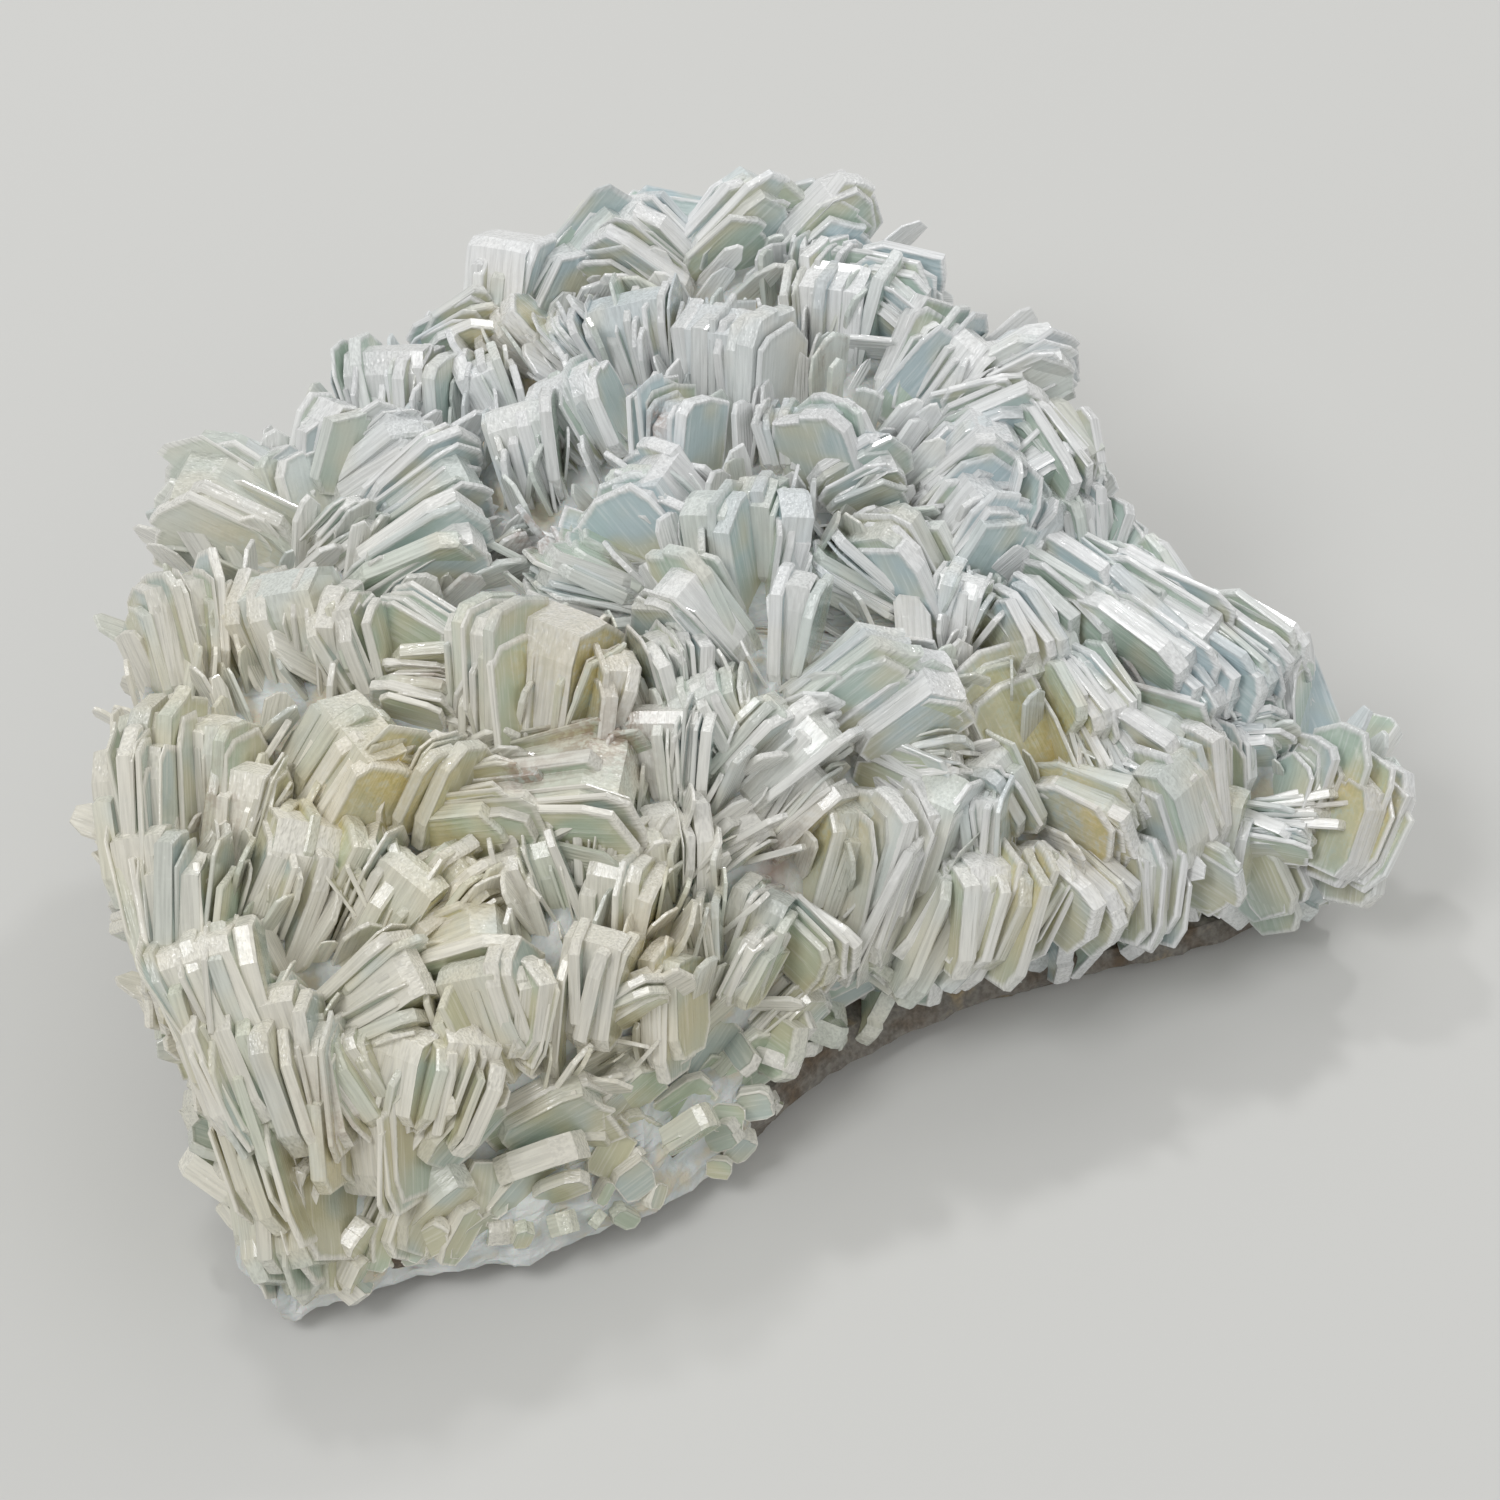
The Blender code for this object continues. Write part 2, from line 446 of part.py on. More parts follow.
def add_book(mesh, mass, anchor, share, axes, size, count, pitch, rng):
    """Adds a book of blades whose outer rims lie at the anchor."""
    along, across, normal = axes
    long, wide, thick = size
    toward = view_axes()[2]
    depth = 0.5 * (abs(along @ toward) * long + abs(across @ toward) * wide)
    middle = anchor - toward * share * depth
    for i in range(count):
        step = i - (count - 1) / 2
        turn = FAN_STEP * step
        ahead = along * math.cos(turn) + normal * math.sin(turn)
        flat = normal * math.cos(turn) - along * math.sin(turn)
        outline = blade_outline(long * rng.uniform(*LENGTH_SPREAD), wide, rng)
        slide = long * rng.uniform(-SLIDE_SPREAD, SLIDE_SPREAD)
        centre = middle + normal * pitch * step + along * slide
        add_blade(mesh, mass, centre, ahead, across, flat, outline, thick)


def book_depth(anchor):
    """The share of a book's depth that lies behind its rims, which falls to none at the far edge."""
    far = np.array(BLADE_EDGE[FAR_EDGE_FIRST:FAR_EDGE_LAST], float)
    distance = np.linalg.norm(far - anchor[:2], axis=1).min()
    return CROWN_DEPTH * min(distance / FAR_ZONE, 1.0)


def add_seen_books(mesh, mass, rng):
    for row in BOOKS:
        right, up, height, heading, lean, roll, long, wide, thick, blades, pitch = row
        anchor = crown_point(right, up) if height is None else seen_point(right, up, height)
        share = book_depth(anchor) if height is None else WALL_DEPTH
        shown, thick, pitch = solid_blades(thick, blades, pitch)
        axes = book_axes(heading, lean, roll)
        add_book(mesh, mass, anchor, share, axes, (long, wide, thick), shown, pitch, rng)


def add_far_books(mesh, mass, rng):
    """Blades that stand out from the far walls, between the footprint and the edge above it."""
    long, wide, thick = FAR_BLADE
    for i in range(FAR_EDGE_FIRST, FAR_EDGE_LAST):
        foot = np.array(FOOTPRINT[i], float)
        edge = np.array(BLADE_EDGE[i], float)
        outward = edge - np.array(FAR_MIDDLE)
        for height, share in FAR_TIERS:
            place = foot + (edge - foot) * share
            rise = math.radians(rng.uniform(*FAR_RISE))
            heading = math.atan2(outward[1], outward[0])
            heading += math.radians(rng.uniform(-FAR_SWING, FAR_SWING))
            roll = math.radians(rng.uniform(-FAR_ROLL, FAR_ROLL))
            out = np.array([math.cos(heading), math.sin(heading), 0.0])
            along = out * math.cos(rise) + np.array([0.0, 0.0, math.sin(rise)])
            level = np.array([-out[1], out[0], 0.0])
            steep = np.cross(along, level)
            normal = level * math.cos(roll) + steep * math.sin(roll)
            across = np.cross(normal, along)
            tip = np.array([*place, min(height, tip_height(*place) - FAR_TIP_MARGIN)])
            outline = blade_outline(long, wide, rng)
            add_blade(mesh, mass, tip - along * long / 2, along, across, normal, outline, thick)


def inset(point, amount):
    """The point moved this far towards the cluster's middle line."""
    point = np.array(point, float)
    step = spine_at(point[0]) - point
    return point + step * min(amount / np.linalg.norm(step), INSET_LIMIT)


def ring_loft(mesh, rings, top, bottom):
    """Closes a stack of equal rings of points with quads, and its ends with fans or a flat face."""
    made = [[mesh.verts.new(Vector(p)) for p in ring] for ring in rings]
    count = len(made[0])
    for low, high in zip(made, made[1:]):
        for i in range(count):
            j = (i + 1) % count
            mesh.faces.new((low[i], low[j], high[j], high[i]))
    for ring, peak, flip in ((made[0], bottom, True), (made[-1], top, False)):
        if peak is None:
            mesh.faces.new(reversed(ring) if flip else ring)
            continue
        tip = mesh.verts.new(Vector(peak))
        for i in range(count):
            j = (i + 1) % count
            mesh.faces.new((ring[j], ring[i], tip) if flip else (ring[i], ring[j], tip))


def root_mass(mesh):
    """The white mass that all the blades grow from: a low dome that overhangs its foot."""
    foot, waist, brink, crown = [], [], [], []
    for i, (low, high) in enumerate(zip(FOOTPRINT, BLADE_EDGE)):
        far = FAR_EDGE_FIRST <= i < FAR_EDGE_LAST
        low = inset(low, FAR_FOOT_INSET if far else NEAR_FOOT_INSET)
        at_rim = inset(high, FAR_BRINK if far else NEAR_BRINK)
        middle = inset(low + (np.array(high) - low) * WAIST_SHARE, WAIST_INSET)
        deep = inset(high, CROWN_INSET)
        top = tip_height(*at_rim) - (FAR_COVER if far else NEAR_COVER)
        contact = crust_height(low[0]) + HALF_GAP
        foot.append((low[0], low[1], contact))
        waist.append((middle[0], middle[1], (contact + top) / 2))
        brink.append((at_rim[0], at_rim[1], top))
        crown.append((deep[0], deep[1], tip_height(*deep) - COVER))
    peak = (*SPINE_MIDDLE, tip_height(*SPINE_MIDDLE) - COVER)
    ring_loft(mesh, [foot, waist, brink, crown], peak, None)


def new_object(name, mesh, material):
    """Turns a bmesh in millimetres into a named object in metres, moved to the origin."""
    for vert in mesh.verts:
        vert.co = (vert.co + Vector(ORIGIN_SHIFT)) * MM
    bmesh.ops.recalc_face_normals(mesh, faces=mesh.faces)
    data = bpy.data.meshes.new(name)
    mesh.to_mesh(data)
    mesh.free()
    obj = bpy.data.objects.new(name, data)
    data.materials.append(material)
    bpy.context.scene.collection.objects.link(obj)
    return obj


def principled(name, colour, roughness):
    material = bpy.data.materials.new(name)
    material.use_nodes = True
    shader = material.node_tree.nodes["Principled BSDF"]
    shader.inputs["Base Color"].default_value = (*colour, 1.0)
    shader.inputs["Roughness"].default_value = roughness
    shader.inputs["Metallic"].default_value = 0.0
    return material


def helper(obj):
    obj.hide_render = True
    obj.display_type = "WIRE"
    return obj


def boolean(obj, other, operation):
    modifier = obj.modifiers.new(other.name, "BOOLEAN")
    modifier.operation = operation
    modifier.solver = "EXACT"
    modifier.object = other
    modifier.use_self = operation == "UNION"
    return modifier


def barite_crystals(material):
    """The root mass joined with every blade, cut off level with the plane of the rock."""
    mass = bmesh.new()
    root_mass(mass)
    bmesh.ops.recalc_face_normals(mass, faces=mass.faces)
    surface = BVHTree.FromBMesh(mass)
    crystals = new_object("barite_crystals", mass, material)
    rng = random.Random(BLADE_SEED)
    blades = bmesh.new()
    add_seen_books(blades, surface, rng)
    add_far_books(blades, surface, rng)
    blade_helper = helper(new_object("blades_to_join", blades, material))
    boolean(crystals, blade_helper, "UNION")
    below = bmesh.new()
    corners = ((-CUT_REACH, -CUT_REACH), (CUT_REACH, -CUT_REACH), (CUT_REACH, CUT_REACH),
               (-CUT_REACH, CUT_REACH))
    ring_loft(below, [
        [(x, y, -CUT_REACH) for x, y in corners],
        [(x, y, crust_height(x) + HALF_GAP) for x, y in corners],
    ], None, None)
    space_helper = helper(new_object("space_under_crystals", below, material))
    boolean(crystals, space_helper, "DIFFERENCE")
    keep_outer_body(crystals)
    for used in (blade_helper, space_helper):
        bpy.data.objects.remove(used, do_unlink=True)
    return crystals


def signed_volume(body):
    """Volume inside the faces of these vertices, positive where the faces point out."""
    volume = 0.0
    for face in {face for vert in body for face in vert.link_faces}:
        first, *rest = [vert.co for vert in face.verts]
        volume += sum(first.dot(a.cross(b)) for a, b in zip(rest, rest[1:])) / 6
    return volume


def keep_outer_body(obj):
    """Applies the modifiers, and fills the closed hollows that crossing blades leave inside.

    A hollow's faces point into it, so its volume counts as negative: a loose blade's doesn't.
    """
    graph = bpy.context.evaluated_depsgraph_get()
    data = bpy.data.meshes.new_from_object(obj.evaluated_get(graph))
    obj.modifiers.clear()
    obj.data = data
    mesh = bmesh.new()
    mesh.from_mesh(data)
    bmesh.ops.remove_doubles(mesh, verts=mesh.verts, dist=WELD * MM)
    needless = True
    while needless:
        needless = [vert for vert in mesh.verts if len(vert.link_edges) == 2]
        bmesh.ops.dissolve_verts(mesh, verts=needless)
    bodies = []
    left = set(mesh.verts)
    while left:
        edge = [left.pop()]
        body = set(edge)
        while edge:
            for link in edge.pop().link_edges:
                for vert in link.verts:
                    if vert not in body:
                        body.add(vert)
                        edge.append(vert)
        left -= body
        bodies.append(body)
    bodies.sort(key=len)
    for hollow in bodies[:-1]:
        if signed_volume(hollow) > 0:
            raise ValueError("a blade stands loose from the root mass")
        bmesh.ops.delete(mesh, geom=list(hollow), context="VERTS")
    mesh.to_mesh(data)
    mesh.free()
    print(obj.name, len(bodies) - 1, "inner shells filled")


def matrix(material):
    """The crust of vein rock, with a rough wall and a flat underside."""
    rng = random.Random(CRUST_SEED)
    rings = [[], [], []]
    for point in FOOTPRINT:
        low = inset(point, CRUST_INSET + rng.uniform(*CRUST_FOOT_SPREAD))
        middle = inset(point, rng.uniform(*CRUST_WAIST_SPREAD))
        top = inset(point, CRUST_SKIRT + rng.uniform(*CRUST_TOP_SPREAD))
        height = crust_height(top[0]) - HALF_GAP
        rings[0].append((low[0], low[1], 0.0))
        rings[1].append((middle[0], middle[1], height * rng.uniform(*CRUST_WAIST_HEIGHT)))
        rings[2].append((top[0], top[1], height))
    mesh = bmesh.new()
    ring_loft(mesh, rings, None, None)
    return new_object("matrix", mesh, material)


def main():
    for obj in list(bpy.data.objects):
        bpy.data.objects.remove(obj, do_unlink=True)
    barite = principled("Natural barite", (0.58, 0.63, 0.60), 0.45)
    rock = principled("Vein rock", (0.16, 0.13, 0.10), 0.85)
    matrix(rock)
    barite_crystals(barite)


main()
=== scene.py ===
# %% [markdown]
# A cluster of bladed barite, the heavy mineral barium sulphate, on a thin crust of vein rock.
# Hundreds of flat six-sided blades stand in fans that mineral people call books. A blade's two
# broad faces are milky and let some light in, and its narrow rim is frosted white.
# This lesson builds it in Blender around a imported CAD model, which says where everything goes.

# %% Load the frame and measure it
import json
import math
import random
from functools import partial

import bmesh
import bpy
import numpy as np
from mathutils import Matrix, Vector
from mathutils.bvhtree import BVHTree

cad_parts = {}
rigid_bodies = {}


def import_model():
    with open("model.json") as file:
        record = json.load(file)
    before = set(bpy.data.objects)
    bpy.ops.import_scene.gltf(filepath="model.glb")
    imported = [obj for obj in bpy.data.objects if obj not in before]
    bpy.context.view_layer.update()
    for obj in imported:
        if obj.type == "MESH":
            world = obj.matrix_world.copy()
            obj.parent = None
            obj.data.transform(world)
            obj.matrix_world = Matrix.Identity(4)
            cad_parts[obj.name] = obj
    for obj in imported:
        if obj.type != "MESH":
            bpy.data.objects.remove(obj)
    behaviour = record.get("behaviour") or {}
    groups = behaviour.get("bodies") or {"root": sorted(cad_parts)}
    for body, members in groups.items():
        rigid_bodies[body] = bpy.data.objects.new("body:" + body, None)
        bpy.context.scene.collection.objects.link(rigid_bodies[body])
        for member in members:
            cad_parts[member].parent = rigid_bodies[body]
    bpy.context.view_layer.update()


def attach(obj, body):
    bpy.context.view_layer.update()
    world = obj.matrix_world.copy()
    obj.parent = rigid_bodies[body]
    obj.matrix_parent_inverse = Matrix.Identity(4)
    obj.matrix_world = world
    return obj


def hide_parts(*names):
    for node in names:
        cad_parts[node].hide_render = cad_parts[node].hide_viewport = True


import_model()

MM = 0.001

# %% [markdown]
# A few small helpers come first. Colours are picked as sRGB hex values, as a colour picker shows
# them, but shaders add light up, so they need linear values. Nearly every step adds nodes, so one
# function adds a node of any kind, sets it, and links what it is given. Two more turn what was
# modelled into an object.

# %% Helpers for colours, nodes and objects


def linear(hex_colour):
    """An sRGB hex colour such as '#EDEEE8' as the linear RGBA that a shader works with."""
    parts = [int(hex_colour[i:i + 2], 16) / 255 for i in (1, 3, 5)]
    return [c / 12.92 if c <= 0.04045 else ((c + 0.055) / 1.055) ** 2.4 for c in parts] + [1.0]


def fill(tree, node, inputs):
    """Sets a node's inputs, by name or by number. A value that is a socket is linked instead."""
    for key, value in inputs.items() if isinstance(inputs, dict) else enumerate(inputs):
        if isinstance(value, bpy.types.NodeSocket):
            tree.links.new(value, node.inputs[key])
        else:
            node.inputs[key].default_value = value


def add_node(tree, kind, out=0, inputs=(), **settings):
    """Adds a node with its settings and inputs, and returns the output that is asked for."""
    node = tree.nodes.new(kind)
    for name, value in settings.items():
        setattr(node, name, value)
    fill(tree, node, inputs)
    return node.outputs[out]


def to_mesh(name, built):
    """A bmesh as a mesh that objects can use."""
    data = bpy.data.meshes.new(name)
    built.to_mesh(data)
    built.free()
    return data


def show(name, data):
    """Puts a mesh, a lamp or a camera in the scene as an object."""
    made = bpy.data.objects.new(name, data)
    bpy.context.scene.collection.objects.link(made)
    return made

# %% [markdown]
# The camera looks down at 48 degrees from half a metre away. Blades were placed by how they are
# seen from there, so the same few functions turn a place in that view into a point in space.

# %% Camera and the front view's geometry
VIEW_TILT = math.radians(48)
EYE_DISTANCE = 500.0
LOOKED_AT = np.array([0.0, 0.0, 20.0])
ORIGIN_SHIFT = np.array([-2.1, -1.0, 0.0])
SENSOR, CLIP_NEAR, CLIP_FAR = 36.0, 0.01, 20.0
PIXELS_ACROSS = 1500
PIXELS_PER_MM = 10.64


def view_axes():
    """Right, up and towards the eye, in the front view."""
    right = np.array([1.0, 0.0, 0.0])
    up = np.array([0.0, math.sin(VIEW_TILT), math.cos(VIEW_TILT)])
    toward = np.array([0.0, -math.cos(VIEW_TILT), math.sin(VIEW_TILT)])
    return right, up, toward


def seen_point(right, up, height):
    """The point at this height above the table that the front view shows at (right, up)."""
    right_axis, up_axis, toward = view_axes()
    eye = LOOKED_AT + toward * EYE_DISTANCE
    ray = (right_axis * right + up_axis * up) / EYE_DISTANCE - toward
    return eye + ray * (height - eye[2]) / ray[2]


def make_camera():
    data = bpy.data.cameras.new("front_camera")
    data.sensor_width = SENSOR
    data.lens = SENSOR * EYE_DISTANCE * PIXELS_PER_MM / PIXELS_ACROSS
    data.clip_start, data.clip_end = CLIP_NEAR, CLIP_FAR
    camera = show("front_camera", data)
    toward = Vector(view_axes()[2])
    camera.location = (Vector(LOOKED_AT + ORIGIN_SHIFT) + toward * EYE_DISTANCE) * MM
    camera.rotation_mode = "QUATERNION"
    camera.rotation_quaternion = (-toward).to_track_quat("-Z", "Y")
    bpy.context.scene.camera = camera
    return data.lens


print(f"camera lens {make_camera():.1f} mm on a {SENSOR:.0f} mm sensor")

# %% [markdown]
# The shape of the whole cluster comes from three short tables: how high the blades' tips stand
# over points of the table, the outline of the foot, and the outline of the blades seen from above.
# A blend of the first table gives a tip height anywhere.

# %% The cluster's outline and heights
TIP_HEIGHTS = (
    (-42, -52, 24), (-60, -20, 38), (-58, 22, 34), (-30, 40, 38), (5, 52, 42), (29, 34, 40),
    (0, 20, 44), (0, -5, 42), (-25, -10, 42), (-20, -35, 30), (5, -25, 24), (30, -12, 24),
    (40, 10, 30), (58, -3, 20), (62, -8, 14), (-50, -38, 34), (20, 0, 36),
)

FOOTPRINT = (
    (-38, -51), (-30, -48), (-20, -46), (-10, -41), (-1, -34.5), (7.5, -25), (15, -19.5), (24, -16),
    (32, -13), (41, -9.5), (49, -6), (55, -3), (56, 2), (50, 7), (42, 8), (36, 13), (31, 21),
    (26, 29), (18, 35), (11, 43), (2, 47), (-10, 46), (-20, 41), (-28, 33), (-36, 25), (-46, 20),
    (-50, 10), (-51, 0), (-50, -12), (-49, -25), (-48, -37), (-45.5, -47), (-42, -52.5),
)
BLADE_EDGE = (
    (-38, -54), (-30, -50), (-20, -46), (-10, -41), (-1, -37), (8, -29), (16, -25), (25, -22),
    (34, -19), (44, -16), (54, -11), (63, -5), (60, 1.5), (54, 10), (44, 14), (36.5, 19), (32.5, 27),
    (28.5, 34), (21, 41), (13, 52), (1, 56), (-12, 54.5), (-24, 48.5), (-34, 38), (-45, 28),
    (-55, 22), (-57.5, 12), (-58.5, 1), (-59.5, -14), (-58.5, -26), (-54, -37), (-49, -47), (-43, -53),
)
BLEND_RADIUS = 7.75
SPINE_MIDDLE = (-4.0, 2.0)
SPINE_REACH = (0.55, 0.1)
INSET_LIMIT = 0.85
CROWN_GUESS, CROWN_STEP, CROWN_ROUNDS = 36.0, 0.6, 20


def tip_heights(x, y):
    """Heights of the blades' tips over points of the table."""
    stations = np.array(TIP_HEIGHTS, float)
    square = (stations[:, 0] - np.atleast_1d(x)[:, None]) ** 2
    square = square + (stations[:, 1] - np.atleast_1d(y)[:, None]) ** 2
    nearness = 1.0 / (square + BLEND_RADIUS ** 2) ** 2
    return (nearness * stations[:, 2]).sum(axis=1) / nearness.sum(axis=1)


def crown_point(right, up):
    """Where the front view's ray meets the crown of tips."""
    height = CROWN_GUESS
    for _ in range(CROWN_ROUNDS):
        place = seen_point(right, up, height)
        height += CROWN_STEP * (tip_heights(place[0], place[1])[0] - height)
    return seen_point(right, up, height)


def spine_at(x):
    """The point of the middle line that things at this x narrow towards."""
    return np.array(SPINE_MIDDLE) + np.array(SPINE_REACH) * (x - SPINE_MIDDLE[0])


def inset(point, amount):
    """The point moved this far towards the cluster's middle line."""
    point = np.array(point, float)
    step = spine_at(point[0]) - point
    return point + step * min(amount / np.linalg.norm(step), INSET_LIMIT)


print(f"tips stand {tip_heights(0, 0)[0]:.1f} mm high in the middle")

# %% [markdown]
# The books of blades, as a collector would sketch them: one row for each book, read off the
# front view. A row gives the place of its outer rims (right, up; mm), their height where they
# stand on the near wall (None on the crown), the heading of the long axis, its lean towards the
# eye, the roll about it, a blade's length, width and thickness, how many, and their pitch.

